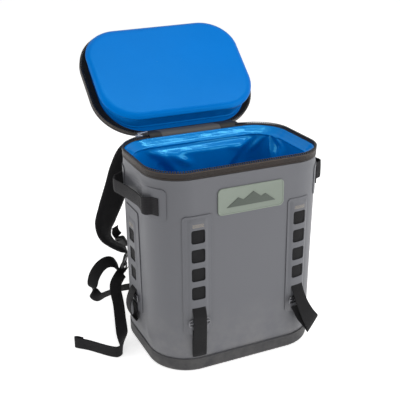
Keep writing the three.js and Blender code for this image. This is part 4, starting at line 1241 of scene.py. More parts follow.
def build_patch(point):
    windows = [(0.0, (point["first"] - i * point["pitch"]) * MM - WINDOW_MIDDLE)
               for i in range(point["windows"])]
    piece = cut_cloth(point["half"] * MM, PATCH_BOTTOM, point["top"] * MM, 1.9 * MM, 7 * MM, windows, 4 * MM)

    def lay(x, z):
        return on_wall(point["along"] * MM + x, z, patch_height(x, z, point, windows))

    lay_cloth(piece, lay)
    thickened(piece, 1.2 * MM, 1.0, 0.35 * MM, 2)
    dress(piece, "window_patch_" + point["name"], patch_fabric, "shell_fabric", "patch_" + point["name"],
          degrees=45)


for row in LASH_POINTS:
    build_patch(row)

# %% Ribbons: webbing laid along a path
def catmull(points, t):
    """A centripetal curve through points, at a share t of their count."""
    last = len(points) - 1
    spot = t * last
    i = min(int(spot), last - 1)
    weight = spot - i
    before = points[i - 1] if i > 0 else points[0] * 2 - points[1]
    first, second = points[i], points[i + 1]
    after = points[i + 2] if i + 2 <= last else points[last] * 2 - points[last - 1]
    gap0 = max((first - before).length_squared ** 0.25, 1e-6)
    gap1 = max((second - first).length_squared ** 0.25, 1e-6)
    gap2 = max((after - second).length_squared ** 0.25, 1e-6)
    slope1 = ((first - before) / gap0 - (second - before) / (gap0 + gap1) + (second - first) / gap1) * gap1
    slope2 = ((second - first) / gap1 - (after - first) / (gap1 + gap2) + (after - second) / gap2) * gap1
    w2, w3 = weight * weight, weight ** 3
    return (first * (2 * w3 - 3 * w2 + 1) + slope1 * (w3 - 2 * w2 + weight)
            + second * (3 * w2 - 2 * w3) + slope2 * (w3 - w2))


def ribbon(places, width, steps, columns=6, shape=None):
    """A flat band along (middle, across) places; shape(u, t) gives across share and height."""
    middles = [middle for middle, _ in places]
    last = len(places) - 1
    centres = [catmull(middles, i / steps) for i in range(steps + 1)]
    frames = []
    length = 0.0
    for i, centre in enumerate(centres):
        ahead = centres[min(i + 1, steps)] - centres[max(i - 1, 0)]
        tangent = ahead.normalized()
        spot = i / steps * last
        k = min(int(spot), last - 1)
        way = places[k][1].lerp(places[k + 1][1], spot - k).normalized()
        way = (way - tangent * way.dot(tangent)).normalized()
        if i:
            length += (centre - centres[i - 1]).length
        frames.append((centre, way, tangent.cross(way), length))

    def at(u, v):
        centre, way, normal, _ = frames[round(u * steps)]
        share, rise = shape(v * 2 - 1, u) if shape else (v * 2 - 1, 0.0)
        return centre + way * (share * width / 2) + normal * rise

    piece = laid_cloth(steps, columns, at, (length, width))
    layer = piece.data.uv_layers[0].data
    for corner in piece.data.loops:
        u, v = layer[corner.index].uv
        layer[corner.index].uv = (frames[round(u / length * steps)][3], v)
    return piece, length


# %% Lash straps and their loops
LOOPS = {
    "flat": [(24, 8.6, 0, 0, 0.8), (34, 9, 0, 0, 1), (52, 9, 0, 0, 1), (80, 7.4, 0, 0, 0),
             (107, 6, 0, 0, 0), (114, 4.2, 0, 0, 0), (107, 2.4, 0, 0, 0), (76, 2.4, 0, 0, 0),
             (66, 5.4, 0, 0, 0), (54, 5.6, 0, 0, 0)],
    "pulled": [(22, 10, 0, 0, 1), (44, 19, 3, 3, 1), (68, 27, 11, 8, 1), (90, 30, 23, 14, 1),
               (97, 27.5, 26, 15, 1), (91, 23, 22, 12, 1), (74, 14, 8, 6, 1), (62, 8, 3, 2, 1),
               (54, 6, 0, 0, 0.5)],
    "bowed": [(12, 8, 0, 0, 1), (27, 15, 0, 0, 1), (44, 19, 0, 0, 1), (62, 17, 0, 0, 1),
              (75, 11, 0, 0, 1), (79, 7.5, 0, 0, 1), (75, 4.6, 0, 0, 1), (60, 4.4, 0, 0, 0.5),
              (52, 5.6, 0, 0, 0), (40, 5.6, 0, 0, 0)],
}
STRAP_LEVEL = 1.5 * MM


def exit_height(point):
    return (point["first"] - point["windows"] * point["pitch"]) * MM


def lash_rows(point):
    """Rows of height, offset, sideways shift, skew and how far the strap has left the wall."""
    leave = exit_height(point)
    start = point["first"] * MM + 13 * MM
    rows = [(start, STRAP_LEVEL, 0, 0, 0), (start - 12 * MM, STRAP_LEVEL, 0, 0, 0),
            (leave + 40 * MM, STRAP_LEVEL, 0, 0, 0), (leave + 14 * MM, STRAP_LEVEL, 0, 0, 0),
            (leave + 2 * MM, STRAP_LEVEL, 0, 0, 0), (leave - 7 * MM, STRAP_LEVEL + 1.6 * MM, 0, 0, 0)]
    for drop, offset, shift, skew, free in LOOPS[point["loop"]]:
        rows.append((leave - drop * MM, offset * MM, shift * MM, skew * MM, free))
    return rows


def build_lash(point):
    rows = lash_rows(point)
    hand = 1 if point["along"] > 0 else -1
    path = [Vector((z, offset, shift)) for z, offset, shift, _, _ in rows]
    extra = [Vector((skew, free, 0)) for _, _, _, skew, free in rows]
    steps = 12 * (len(rows) - 1)
    centres = [catmull(path, i / steps) for i in range(steps + 1)]
    along_wall = point["along"] * MM
    lengths = [0.0]
    for before, after in zip(centres, centres[1:]):
        lengths.append(lengths[-1] + (after - before).length)

    def at(u, v):
        spot = u * (len(rows) - 1)
        k = min(int(spot), len(rows) - 2)
        skew, free, _ = extra[k].lerp(extra[k + 1], spot - k)
        z, offset, shift = centres[round(u * steps)]
        x = (v - 0.5) * WEBBING_WIDTH
        cup = 0.35 * MM * (1 - (2 * v - 1) ** 2) * free
        bent = on_wall(along_wall + x, z, offset)
        across_way, _, _ = wall_axes(along_wall, z)
        loose = on_wall(along_wall, z, offset + cup) + across_way * (x + shift * hand)
        loose.z += skew * (2 * v - 1) * hand
        return bent.lerp(loose, min(free, 1.0))

    piece = laid_cloth(steps, 8, at, (lengths[-1], WEBBING_WIDTH))
    layer = piece.data.uv_layers[0].data
    for corner in piece.data.loops:
        u, v = layer[corner.index].uv
        layer[corner.index].uv = (lengths[round(u / lengths[-1] * steps)], v)
    thickened(piece, 1.25 * MM, 0.0, 0.5 * MM, 2)
    dress(piece, "lash_webbing_" + point["name"], black_webbing, "webbing", "lash_strap_" + point["name"],
          degrees=60)


for row in LASH_POINTS:
    build_lash(row)

# %% [markdown]
# The slide buckle is a frame of round wire with a middle bar. A flat rounded rectangle of edges
# becomes a tube, which is how such buckles are bent from wire, and the bar joins its long sides.

# %% Slide buckles
def wire_frame(width, height, radius, wire):
    """A closed frame of round wire with a middle bar, made flat in x and y."""
    deselect()
    bpy.ops.mesh.primitive_plane_add(size=1.0)
    ring = bpy.context.object
    ring.scale = (width - wire, height - wire, 1)
    settle(ring)
    edit(ring, "VERT")
    bpy.ops.mesh.select_all(action="SELECT")
    bpy.ops.mesh.bevel(offset=radius - wire / 2, segments=8, affect="VERTICES")
    bpy.ops.mesh.select_all(action="SELECT")
    bpy.ops.mesh.delete(type="ONLY_FACE")
    close_edit()
    pick(ring)
    bpy.ops.object.convert(target="CURVE")
    ring = bpy.context.object
    ring.data.bevel_depth = wire / 2
    ring.data.bevel_resolution = 4
    ring.data.use_fill_caps = False
    bpy.ops.object.convert(target="MESH")
    ring = bpy.context.object
    deselect()
    bpy.ops.mesh.primitive_cylinder_add(radius=wire * 0.48, depth=width - wire, vertices=18,
                                        rotation=(0, math.pi / 2, 0))
    bar = bpy.context.object
    settle(bar)
    bevel_edges(bar, lambda item: item.calc_face_angle(0) > 1.0, 0.3 * MM, 2)
    pick(ring)
    bar.select_set(True)
    bpy.ops.object.join()
    return ring


def placed_on(piece, origin, x_way, y_way):
    """Turns a piece made flat so that its x and y run along two directions from an origin."""
    z_way = x_way.cross(y_way).normalized()
    turn = Matrix((x_way, y_way, z_way)).transposed().to_4x4()
    piece.matrix_world = Matrix.Translation(origin) @ turn
    settle(piece)
    return piece


BUCKLE_DROP = {"flat": 38, "pulled": 38, "bowed": 25}
first_buckle = wire_frame(46 * MM, 16 * MM, 6 * MM, 3 * MM)
print("wire buckle", [round(side, 4) for side in first_buckle.dimensions])
for row in LASH_POINTS:
    pick(first_buckle)
    bpy.ops.object.duplicate()
    buckle = bpy.context.object
    z = exit_height(row) - BUCKLE_DROP[row["loop"]] * MM
    across_way, up_way, out_way = wall_axes(row["along"] * MM, z)
    origin = on_wall(row["along"] * MM, z, PATCH_LIFT + 1.2 * MM + 0.4 * MM + 1.5 * MM)
    placed_on(buckle, origin, across_way, up_way)
    tidy_normals(buckle)
    dress(buckle, "slide_buckle_" + row["name"], buckle_metal, "buckle_metal",
          "lash_buckle_" + row["name"], degrees=60)
bpy.data.objects.remove(first_buckle)


# %% [markdown]
# ## Handles and their patches
#
# Each side handle is one band of heavy webbing. It lies flat where it is sewn down, is wrapped
# with a binding that makes a thick ribbed tab by the front patch, and narrows to a grip that
# bows off the wall. The patches under its ends are small welded sheets with a stitched edge.

# %% Small patches that follow the wall
def wall_sheet(name, start, end, bottom, top, radius, lift, material, slot, node, stitched=True):
    """A rounded sheet on the wall between two distances, with a welded edge line."""
    middle = (start + end) / 2
    half = abs(end - start) / 2
    piece = cut_cloth(half, bottom, top, 2.2 * MM, radius, [], 1 * MM)

    def lay(x, z):
        edge = box_distance((x, z), (0, (bottom + top) / 2), (half, (top - bottom) / 2), radius)
        groove = -0.35 * MM * lobe(edge, -5.0 * MM, -2.0 * MM) if stitched else 0.0
        return on_wall(middle + x, z, lift + max(groove, -0.35 * MM))

    lay_cloth(piece, lay)
    thickened(piece, 1.4 * MM, 1.0, 0.4 * MM, 2)
    return dress(piece, name, material, slot, node, degrees=45)


HANDLE_BOTTOM = 331 * MM
HANDLE_WIDTH = 35 * MM
TAB_END = 177 * MM
front_run, corner_arc, side_run = outline_parts(section_at(HANDLE_BOTTOM))
SIDE_MIDDLE = front_run + corner_arc + side_run / 2
for hand, label in ((-1, "left"), (1, "right")):
    ends = {"front": (162 * MM, 221 * MM),
            "rear": (2 * SIDE_MIDDLE - 221 * MM, 2 * SIDE_MIDDLE - 162 * MM)}
    for end_name, (start, end) in ends.items():
        wall_sheet(f"handle_sheet_{end_name}_{label}", hand * start, hand * end, 322 * MM, 384 * MM,
                   9 * MM, 0.4 * MM, patch_fabric, "shell_fabric", f"handle_patch_{end_name}_{label}")

# %% Handles
HANDLE_ROWS = [(0, 3.0, 0), (14, 3.0, 0), (18, 7, 0), (22, 12, 0), (28, 13.5, 1), (34, 10.5, 2),
               (44, 8, 4), (72, 9, 4), (102, 13, 4), (128, 19, 4), (145, 22, 4), (157, 17, 2),
               (163, 6.5, 0), (172, 3.0, 0), (186, 3.0, 0)]


def build_handle(label, hand, base, lift, flare):
    path = [Vector((along, offset, narrow)) * MM for along, offset, narrow in HANDLE_ROWS]
    steps = 10 * (len(path) - 1)
    centres = [catmull(path, i / steps) for i in range(steps + 1)]
    lengths = [0.0]
    for before, after in zip(centres, centres[1:]):
        lengths.append(lengths[-1] + Vector((after.x - before.x, after.y - before.y)).length)

    def at(u, v):
        along, offset, narrow = centres[round(u * steps)]
        swing = max(math.sin(math.pi * along / path[-1].x), 0.0)
        raise_by = base + lift * swing
        rise = narrow + (HANDLE_WIDTH - 2 * narrow) * v
        free = smoothstep(offset, 3.4 * MM, 9 * MM)
        cup = 1.2 * MM * (1 - (2 * v - 1) ** 2) * free * (1 if along > 40 * MM else 0.4)
        lean = flare * swing ** 2 * (1 - 2 * v)
        return on_wall(hand * (TAB_END + along), HANDLE_BOTTOM + rise + raise_by, offset + cup + lean)

    piece = laid_cloth(steps, 10, at, (lengths[-1], HANDLE_WIDTH))
    layer = piece.data.uv_layers[0].data
    for corner in piece.data.loops:
        u, v = layer[corner.index].uv
        layer[corner.index].uv = (lengths[round(u / lengths[-1] * steps)], v)
    thickened(piece, 2.2 * MM, 0.0, 0.8 * MM, 3)
    dress(piece, "handle_band_" + label, handle_webbing, "webbing", "handle_" + label, degrees=60)


build_handle("left", -1, 0.0, 0.0, 0.0)
build_handle("right", 1, 10 * MM, 16 * MM, 4 * MM)

# %% [markdown]
# ## The hinge strip and the zip covers
#
# The lid swings on the cloth itself: a strip of fabric runs from the mouth's back over to the
# lid's near edge. Black covers hold both ends of the zip. All three follow one path, so the path
# is drawn once and bands of different widths are laid on it.

# %% Hinge
MOUTH_BACK = MOUTH["depth"] / 2
HINGE_PATH = [
    Vector((0, MOUTH_BACK - 0.9 * MM, ZIP_BOTTOM + 1 * MM)), Vector((0, MOUTH_BACK - 1.5 * MM, 0.415)),
    Vector((0, MOUTH_BACK + 5 * MM, 0.419)), Vector((0, MOUTH_BACK + 24 * MM, 0.4165)),
    Vector((0, HINGE.y + 3 * MM, 0.4145)), on_lid(0, HINGE_GAP - 0.1 * MM, 3.2 * MM),
    on_lid(0, HINGE_GAP + 1.5 * MM, -2.5 * MM), on_lid(0, HINGE_GAP + 1.5 * MM, -12.1 * MM)]


def hinge_band(name, left, right, thickness, lift, material, slot, node):
    """A band along the hinge's path, swollen in the middle by a lift, with a hem at each edge."""
    steps = 56
    spots = [catmull(HINGE_PATH, i / steps) for i in range(steps + 1)]
    run = [0.0]
    for before, after in zip(spots, spots[1:]):
        run.append(run[-1] + (after - before).length)
    columns = max(16, round((right - left) / (2.5 * MM)))

    def at(u, v):
        i = round(v * steps)
        tangent = (spots[min(i + 1, steps)] - spots[max(i - 1, 0)]).normalized()
        normal = Vector((0, -tangent.z, tangent.y))
        x = left + (right - left) * u
        share = run[i] / run[-1]
        hem = 0.35 * MM * (lobe(x - left, -3 * MM, 3.5 * MM) + lobe(right - x, -3 * MM, 3.5 * MM))
        slack = 0.8 * MM * noise.noise(Vector((x * 30, share * 3, 7.0))) * lobe(share, 0.1, 0.9)
        rise = lift * lobe(share, 0, 1) * (1 - (2 * u - 1) ** 4) + hem + slack * (0.2 + 0.8 * (lift == 0))
        return Vector((x, spots[i].y, spots[i].z)) + normal * rise

    piece = laid_cloth(columns, steps, at, (right - left, run[-1]))
    thickened(piece, thickness, 0.0, thickness * 0.4, 2)
    return dress(piece, name, material, slot, node, degrees=60)


hinge_band("hinge_cloth", -75.4 * MM, 60.4 * MM, 1.6 * MM, 0.0, hinge_fabric, "shell_fabric", "hinge_strip")
hinge_band("zip_cover_left", -103.6 * MM, -75.5 * MM, 1.8 * MM, 1.6 * MM, garage_fabric, "webbing",
           "zip_garage_left")
hinge_band("zip_cover_right", 60.5 * MM, 103.6 * MM, 1.8 * MM, 1.6 * MM, garage_fabric, "webbing",
           "zip_garage_right")

# %% [markdown]
# ## Slider and pull
#
# The slider is a cast body with a waist, its edges softened, and a bridge over it that carries
# the pull. The body starts as a rounded plate that is raised and pinched at the rear end, and
# the pull is a flat bar with rounded ends and a sunk face.

# %% Slider
def block(size, place=(0, 0, 0)):
    deselect()
    bpy.ops.mesh.primitive_cube_add(size=1.0, location=place)
    piece = bpy.context.object
    piece.scale = size
    settle(piece)
    return piece


def joined(first, *others):
    pick(first)
    for other in others:
        other.select_set(True)
    bpy.ops.object.join()
    return bpy.context.object


SLIDER_ALONG = -414 * MM
slider_spot = on_wall(SLIDER_ALONG, HEIGHT, -2 * MM)
slider_ahead = (on_wall(SLIDER_ALONG - MM, HEIGHT, -2 * MM) -
                on_wall(SLIDER_ALONG + MM, HEIGHT, -2 * MM)).normalized()
slider_in = Vector((0, 0, 1)).cross(slider_ahead)
slider_low = HEIGHT + 0.5 * MM

body_plate = rounded_plate(16 * MM, 12 * MM, 4 * MM, 8)
raised(body_plate, 3.4 * MM)
edit(body_plate, "VERT")
select_where(body_plate, lambda vertex: vertex.co.x < -3 * MM, "verts")
bpy.ops.transform.resize(value=(1, 0.72, 1))
close_edit()
bevel_edges(body_plate, level_edge(3.4 * MM), 0.7 * MM, 3)
bridge = block((9 * MM, 2.6 * MM, 1.6 * MM), (0, 0, 4.1 * MM))
edit(bridge, "FACE")
select_where(bridge, lambda face: face.normal.z > 0.9)
bpy.ops.transform.resize(value=(0.7, 0.8, 1))
close_edit()
bevel_edges(bridge, lambda edge: True, 0.35 * MM, 2)
slider = joined(body_plate, bridge)
placed_on(slider, Vector((slider_spot.x, slider_spot.y, slider_low)), slider_ahead, slider_in)
tidy_normals(slider)
dress(slider, "cast_slider", slider_metal, "slider_metal", "zip_slider", degrees=40)

pull = rounded_plate(24 * MM, 7 * MM, 3 * MM, 8)
raised(pull, 1.8 * MM)
edit(pull, "VERT")
select_where(pull, lambda vertex: vertex.co.x > 4 * MM, "verts")
bpy.ops.transform.resize(value=(1, 0.82, 1))
close_edit()
bevel_edges(pull, lambda edge: abs(edge.verts[0].co.z - edge.verts[1].co.z) < 1e-6 and
            len(edge.link_faces) == 2 and edge.calc_face_angle(0) > 1.2, 0.4 * MM, 2)
edit(pull, "FACE")
select_where(pull, lambda face: face.normal.z > 0.9 and face.calc_area() > 20 * MM * MM)
bpy.ops.mesh.inset(thickness=1.6 * MM)
bpy.ops.transform.translate(value=(0, 0, -0.5 * MM))
close_edit()
pull_spot = Vector((slider_spot.x, slider_spot.y, HEIGHT + 5.85 * MM)) + slider_ahead * 9 * MM
placed_on(pull, pull_spot, slider_ahead, slider_in)
tidy_normals(pull)
dress(pull, "slider_pull", slider_metal, "slider_metal", "zip_pull", degrees=40)

# %% [markdown]
# ## The badge
#
# A moulded rubber badge with a raised border, and in it a plain relief of three peaks. The
# border is what stays up when the face is inset and its middle pushed down, and the peaks are
# one face extruded and softened.

# %% Badge
BADGE_ALONG = 8 * MM
BADGE_Z = 349 * MM
badge_across, badge_up, badge_out = wall_axes(BADGE_ALONG, BADGE_Z)
badge = raised(rounded_plate(141 * MM, 53 * MM, 9 * MM, 10), 1.6 * MM)
edit(badge, "FACE")
select_where(badge, lambda face: face.normal.z > 0.9)
bpy.ops.mesh.inset(thickness=1.2 * MM)
bpy.ops.transform.translate(value=(0, 0, 0.5 * MM))
bpy.ops.mesh.inset(thickness=0.9 * MM)
bpy.ops.mesh.inset(thickness=0.6 * MM)
bpy.ops.transform.translate(value=(0, 0, -0.9 * MM))
close_edit()
bevel_edges(badge, lambda edge: len(edge.link_faces) == 2 and edge.calc_face_angle(0) > 0.6 and
            abs(edge.verts[0].co.z - edge.verts[1].co.z) < 1e-6 and edge.verts[0].co.z > 1 * MM,
            0.25 * MM, 2)
placed_on(badge, on_wall(BADGE_ALONG, BADGE_Z, 0.4 * MM), badge_across, badge_up)
dress(badge, "moulded_badge", badge_rubber, "badge_rubber", "badge", degrees=40)

PEAK_CORNERS = [(-0.5, 0), (-0.27, 0.7), (-0.16, 0.45), (0.04, 1), (0.2, 0.5), (0.29, 0.66), (0.5, 0)]
deselect()
bpy.ops.mesh.primitive_circle_add(vertices=len(PEAK_CORNERS), radius=1.0, fill_type="NGON")
peaks = bpy.context.object
for vertex, (x, y) in zip(peaks.data.vertices, PEAK_CORNERS):
    vertex.co = (x * 104 * MM, (y - 0.5) * 25 * MM, 0)
tidy_normals(peaks)
edit(peaks, "FACE")
bpy.ops.mesh.select_all(action="SELECT")
bpy.ops.mesh.extrude_region_move(TRANSFORM_OT_translate={"value": (0, 0, 1.3 * MM)})
bpy.ops.mesh.select_all(action="SELECT")
bpy.ops.mesh.normals_make_consistent(inside=False)
close_edit()
bevel_edges(peaks, lambda edge: all(vertex.co.z > 1 * MM for vertex in edge.verts) or
            abs(edge.verts[0].co.z - edge.verts[1].co.z) > 1 * MM, 0.35 * MM, 3)
placed_on(peaks, on_wall(BADGE_ALONG, BADGE_Z, 0.4 * MM + 1.0 * MM), badge_across, badge_up)
tidy_normals(peaks)
dress(peaks, "peaks_relief", relief_rubber, "badge_relief", "badge_figure", degrees=40)

# %% [markdown]
# ## The harness
#
# Two padded straps are sewn to a yoke, curve out over the wearer's shoulders and end in ladder
# locks. Adjuster webbing runs from a patch low on the back, through each lock and on to a free
# end that lies on the ground. The straps are stiff enough to keep their bend, so their paths are
# written as rows: a place, the compass angle of the way across, and its tilt.

# %% Rows of the harness
def turned(hand, x, y, z, yaw, tilt=0):
    turn, lean = math.radians(yaw), math.radians(tilt)
    way = Vector((-hand * math.cos(turn) * math.cos(lean), math.sin(turn) * math.cos(lean), math.sin(lean)))
    return Vector((-hand * x, y, z)) * MM, way


PAD_PATH = [(-60, 128.5, 366, 0, 61), (-80, 128.5, 377, 0, 64), (-108, 134, 384, 0, 88),
            (-132, 148, 374, 4, 128), (-148, 158, 344, 8, 155), (-161, 165, 302, 12, 163),
            (-176, 170, 258, 16, 166), (-190, 171, 220, 26, 168), (-192.5, 169, 198, 42, 166),
            (-187, 165, 178, 58, 162), (-174, 158, 164, 64, 160), (-152, 150, 152.5, 66, 164)]
STRAP_WIDTH = 62 * MM
STRAP_THICK = 12 * MM


def pad_section(share, side):
    """Half thickness across a padded strap: full in the middle, thin at its bound edges."""
    edge = abs(share)
    full = max(1 - max(edge - 0.5, 0) ** 2 / 0.25, 0) ** 0.5
    return (0.16 + 0.84 * full) * STRAP_THICK / 2 * side


def build_shoulder_pad(label, hand):
    places = [turned(hand, *row) for row in PAD_PATH]
    steps = 150

    def taper(t):
        return min(smoothstep(t, -0.02, 0.05), 1 - smoothstep(t, 0.95, 1.02)) * 0.75 + 0.25

    def face(side):
        def shape(share, t):
            puff = pad_section(share, side) * taper(t)
            crease = noise.noise(Vector((t * 26, share * 1.2, 3.0 * hand))) * 0.7 * MM * (1 - share ** 2)
            seam = -0.7 * MM * side * lobe(abs(share), 0.80, 0.94)
            return share * 0.985, puff + crease * side * 0.8 + seam * taper(t)
        return shape

    top, length = ribbon(places, STRAP_WIDTH, steps, 26, face(1))
    under, _ = ribbon(places, STRAP_WIDTH, steps, 26, face(-1))
    pad = joined(top, under)
    edit(pad, "VERT")
    bpy.ops.mesh.select_all(action="SELECT")
    bpy.ops.mesh.remove_doubles(threshold=0.05 * MM)
    close_edit()
    edit(pad, "EDGE")
    bpy.ops.mesh.select_non_manifold(extend=False, use_wire=False, use_multi_face=False,
                                     use_non_contiguous=False, use_verts=False)
    bpy.ops.mesh.bridge_edge_loops()
    close_edit()
    tidy_normals(pad)
    dress(pad, "shoulder_pad_cloth_" + label, pad_cloth, "pad_fabric", "shoulder_pad_" + label, degrees=50)
    print("shoulder pad", label, round(length, 3), "m long")


build_shoulder_pad("left", -1)
build_shoulder_pad("right", 1)


# %% [markdown]
# The ladder lock is a moulded plate with two slots, through which the webbing doubles back. Its
# bars are rounded, and three low ridges on the lower bar give the thumb a grip. The slots are
# cut with boolean blocks, because they go straight through as in a mould.

# %% Ladder locks
LOCK = {"width": 36 * MM, "height": 34 * MM, "thick": 5 * MM, "margin": 4.6 * MM}
LOCK_SPOT = (153, 148, 146)


def lock_frame(hand):
    """The lock's way across, its way down, its origin and the way out of its face."""
    across_way = Vector((-hand * 0.42, 0.87, -0.27)).normalized()
    down = Vector((hand * 0.25, 0, -1)).normalized()
    out = across_way.cross(down).normalized()
    origin = Vector((hand * LOCK_SPOT[0], LOCK_SPOT[1], LOCK_SPOT[2])) * MM
    to_left = 1 if out.x * hand > 0 else -1
    return across_way, down, origin, out, to_left


def cut_slot(piece, size, place):
    """Cuts a straight slot through a piece with a boolean block."""
    cutter = block(size, place)
    bevel_edges(cutter, lambda edge: abs(edge.verts[0].co.z - edge.verts[1].co.z) > 1 * MM, 0.9 * MM, 3)
    hole = piece.modifiers.new("slot", "BOOLEAN")
    hole.operation = "DIFFERENCE"
    hole.solver = "EXACT"
    hole.object = cutter
    apply_all(piece)
    bpy.data.objects.remove(cutter)


def outer_edges(angle):
    return lambda edge: len(edge.link_faces) == 2 and edge.calc_face_angle(0) > math.radians(angle)


def ladder_lock():
    plate_piece = raised(rounded_plate(LOCK["width"], LOCK["height"], 5 * MM, 6), LOCK["thick"])
    plate_piece.location = (0, 0, -LOCK["thick"] / 2)
    settle(plate_piece)
    inner = LOCK["width"] - 2 * LOCK["margin"]
    for top, bottom in ((4, 9), (16, 28)):
        place = (0, (top + bottom) / 2 * MM - LOCK["height"] / 2, 0)
        cut_slot(plate_piece, (inner, (bottom - top) * MM, 3 * LOCK["thick"]), place)
    bevel_edges(plate_piece, outer_edges(50), 0.7 * MM, 2)
    teeth = []
    for i in range(3):
        tooth = block((inner * 0.9, 0.9 * MM, 0.8 * MM),
                      (0, 30.2 * MM - LOCK["height"] / 2 + i * 1.3 * MM - 0.6 * MM, LOCK["thick"] / 2))
        bevel_edges(tooth, lambda edge: True, 0.2 * MM, 1)
        teeth.append(tooth)
    return joined(plate_piece, *teeth)


for hand, label in ((-1, "left"), (1, "right")):
    across_way, down, origin, out, to_left = lock_frame(hand)
    lock = ladder_lock()
    placed_on(lock, origin + down * LOCK["height"] / 2, across_way, down)
    tidy_normals(lock)
    dress(lock, "ladder_lock_body_" + label, buckle_plastic, "buckle_plastic", "ladder_lock_" + label)

# %% Adjuster webbing
SWEEP = {
    "left": [(-84, 130.5, 62, -90, 90), (-104, 130.6, 62, -90, 90), (-126, 134, 63, -90, 80),
             (-152, 143, 64, -90, 62), (-176, 145, 63, -90, 60), (-206, 141, 59, -90, 60),
             (-226, 134, 60, -90, 70), (-237, 134, 78, 90, 70), (-233, 140, 104, 90, 60),
             (-217, 145, 125, 90, 64), (-199, 148, 133, 85, 60), (-184, 149, 129, 75, 35)],
    "right": [(84, 130.5, 62, 90, 90), (104, 130.6, 62, 90, 90), (126, 134, 62, 90, 86),
              (152, 141, 62, 90, 78), (172, 145, 63, 90, 78), (190, 150, 70, 90, 60),
              (196, 154, 90, 90, 30), (190, 154, 110, 80, 10)],
}
TAIL = {
    "left": [(-167, 140, 104, 10, -20), (-180, 128, 100, -30, -28), (-191, 117, 91, -30, -24),
             (-194, 108, 80, -10, -8), (-194, 94, 58, 2, 0), (-201, 64, 37, 22, 6),
             (-208, 36, 24, 22, 20),
             (-216, 8, 16, 10, 60), (-224, -12, 14, 0, 88), (-230, -18, 14, 0, 90),
             (-238, -20, 14, 0, 90), (-250, -11, 14, 0, 90), (-266, 8, 14, 0, 90),
             (-284, 30, 14, 0, 90), (-303, 48, 14, 0, 90), (-306, 53, 14, 0, 90),
             (-302, 54, 14, 0, 90), (-290, 43, 14, 0, 90)],
    "right": [(163, 150, 108, 65, 0), (160, 158, 80, 60, 0), (156, 166, 50, 60, 20),
              (146, 176, 24, 60, 60), (128, 184, 14, 90, 90), (100, 188, 14, 90, 90),
              (60, 186, 14, 90, 90), (20, 190, 14, 90, 90)],
}
ROUND_BAR = [(40, 7), (31, 6), (24, 4.2), (22, 0), (24, -4.2), (31, -6), (40, -7)]


def build_adjuster(label, hand):
    across_way, down, origin, out, to_left = lock_frame(hand)
    places = [turned(-1, *row) for row in SWEEP[label]]
    places += [(origin + down * d * MM + out * n * to_left * MM, across_way) for d, n in ROUND_BAR]
    places += [turned(-1, *row) for row in TAIL[label]]
    aligned = []
    for middle, way in places:
        if aligned and aligned[-1][1].dot(way) < 0:
            way = -way
        aligned.append((middle, way))
    steps = 9 * (len(aligned) - 1)
    band, length = ribbon(aligned, 25 * MM, steps, 6)
    thickened(band, 1.25 * MM, 0.0, 0.5 * MM, 2)
    dress(band, "adjuster_band_" + label, black_webbing, "webbing", "adjuster_webbing_" + label, degrees=60)
    print("adjuster webbing", label, round(length, 3), "m long")


build_adjuster("left", -1)
build_adjuster("right", 1)

# %% Anchors and yoke
front_run, corner_arc, side_run = outline_parts(section_at(62 * MM))
ANCHOR_START = front_run + 2 * corner_arc + side_run - 22 * MM
for hand, label in ((-1, "left"), (1, "right")):
    start = hand * ANCHOR_START
    wall_sheet("anchor_sheet_" + label, start, start + hand * 46 * MM, 40 * MM, 84 * MM, 7 * MM, 0.4 * MM,
               garage_fabric, "webbing", "lower_anchor_" + label)

yoke = cut_cloth(108 * MM, 330 * MM, 398 * MM, 3 * MM, 7 * MM, [], 1 * MM)


def lay_yoke(x, z):
    edge = box_distance((x, z), (0, 364 * MM), (108 * MM, 34 * MM), 7 * MM)
    groove = -0.35 * MM * lobe(edge, -5.0 * MM, -2.0 * MM)
    slow = max(noise.noise(Vector((x * 30, z * 30, 9.0))), 0) * 0.35 * MM
    return Vector((x, section_at(z)["depth"] / 2 + 0.45 * MM + max(groove, -0.4 * MM) + slow, z))


lay_cloth(yoke, lay_yoke)
thickened(yoke, 1.4 * MM, 1.0, 0.4 * MM, 2)
edit(yoke, "FACE")
bpy.ops.mesh.select_all(action="SELECT")
bpy.ops.mesh.normals_make_consistent(inside=False)
close_edit()
dress(yoke, "yoke_sheet", patch_fabric, "shell_fabric", "back_yoke", degrees=45)

# %% Chest straps and their buckles
STERNUM = {"width": 24 * MM, "length": 28 * MM, "thick": 8 * MM}


def chest_buckle_body():
    body = raised(rounded_plate(STERNUM["width"], STERNUM["length"], 5 * MM, 6), STERNUM["thick"])
    bevel_edges(body, outer_edges(60), 2.2 * MM, 4)
    cut_slot(body, (STERNUM["width"] - 8 * MM, 4 * MM, 3 * STERNUM["thick"]),
             (0, STERNUM["length"] / 2 - 6 * MM, STERNUM["thick"] / 2))
    for side in (-1, 1):
        cut_slot(body, (3.2 * MM, 11 * MM, 3.0 * MM),
                 (side * (STERNUM["width"] / 2 - 0.5 * MM), -6 * MM, STERNUM["thick"] / 2))
    return body


for hand, label in ((-1, "left"), (1, "right")):
    rows = [turned(hand, -160.8, 194.5, 192, 20, 60), turned(hand, -160, 196, 178.5, 20, 50),
            turned(hand, -153, 196, 167, 20, 40)]
    band, length = ribbon(rows, 20 * MM, 24, 6)
    thickened(band, 1.25 * MM, 0.0, 0.5 * MM, 2)
    dress(band, "chest_band_" + label, black_webbing, "webbing", "chest_strap_" + label, degrees=60)
    down = Vector((-hand * 0.45, 0, -0.9)).normalized()
    across_way = Vector((-hand * 0.8, -0.6, 0))
    across_way = (across_way - down * across_way.dot(down)).normalized()
    out = across_way.cross(-down).normalized()
    buckle = chest_buckle_body()
    spot = Vector((hand * 147, 194.2, 153.4)) * MM - out * STERNUM["thick"] / 2
    placed_on(buckle, spot, across_way, -down)
    tidy_normals(buckle)
    dress(buckle, "chest_buckle_body_" + label, buckle_plastic, "buckle_plastic", "chest_buckle_" + label)

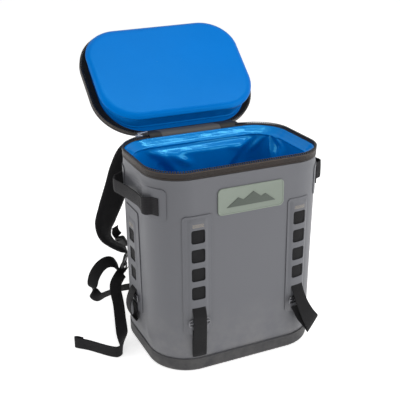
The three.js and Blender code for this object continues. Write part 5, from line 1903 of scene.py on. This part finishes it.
# %% [markdown]
# ## Stitches
#
# A beige bar tack holds each run of webbing above its first window. One stitch is a short
# thread: a thin cylinder with drawn ends, squashed a little into the cloth. A tack is copies of
# it laid in rows that slant to and fro.

# %% Stitch rows
def stitch_mesh(length, radius):
    deselect()
    bpy.ops.mesh.primitive_cylinder_add(radius=radius, depth=length, vertices=6,
                                        rotation=(0, math.pi / 2, 0))
    stitch = bpy.context.object
    settle(stitch)
    edit(stitch, "FACE")
    select_where(stitch, lambda face: abs(face.normal.x) > 0.9)
    bpy.ops.mesh.inset(thickness=radius * 0.45)
    bpy.ops.transform.resize(value=(1.16, 1, 1))
    bpy.ops.mesh.select_all(action="SELECT")
    bpy.ops.transform.resize(value=(1, 1, 0.62))
    close_edit()
    return stitch


def stitch_row(name, spots, length, radius, material, slot):
    """Copies one stitch to each (middle, along, out) and joins them in a single piece."""
    first = stitch_mesh(length, radius)
    copies = []
    for middle, along_way, out_way in spots:
        pick(first)
        bpy.ops.object.duplicate()
        copy = bpy.context.object
        side_way = out_way.cross(along_way).normalized()
        placed_on(copy, middle, along_way.normalized(), side_way)
        copies.append(copy)
    bpy.data.objects.remove(first)
    row_piece = joined(*copies)
    return dress(row_piece, name, material, slot, degrees=50)


def tack_spots(along, z, width, height, lift, rows=5, count=5, slant=0.5):
    """A bar tack on the wall: short slanted stitches in rows."""
    spots = []
    for i in range(rows):
        for j in range(count):
            x = along + width * ((j + 0.5) / count - 0.5)
            level = z + height * ((i + 0.5) / rows - 0.5)
            across_way, up_way, out_way = wall_axes(x, level)
            way = across_way * 1.0 + up_way * slant * (1 if (i + j) % 2 else -1)
            spots.append((on_wall(x, level, lift), way - out_way * way.dot(out_way), out_way))
    return spots


for point in LASH_POINTS:
    level = (point["first"] + 7) * MM
    windows = [(0.0, point["first"] * MM - WINDOW_MIDDLE)]
    lift = patch_height(0.0, level, point, windows) + 1.3 * MM
    spots = tack_spots(point["along"] * MM, level, 22 * MM, 7 * MM, lift, 3, 9)
    stitch_row("bar_tack_" + point["name"], spots, 3.2 * MM, 0.4 * MM, beige_thread, "webbing")
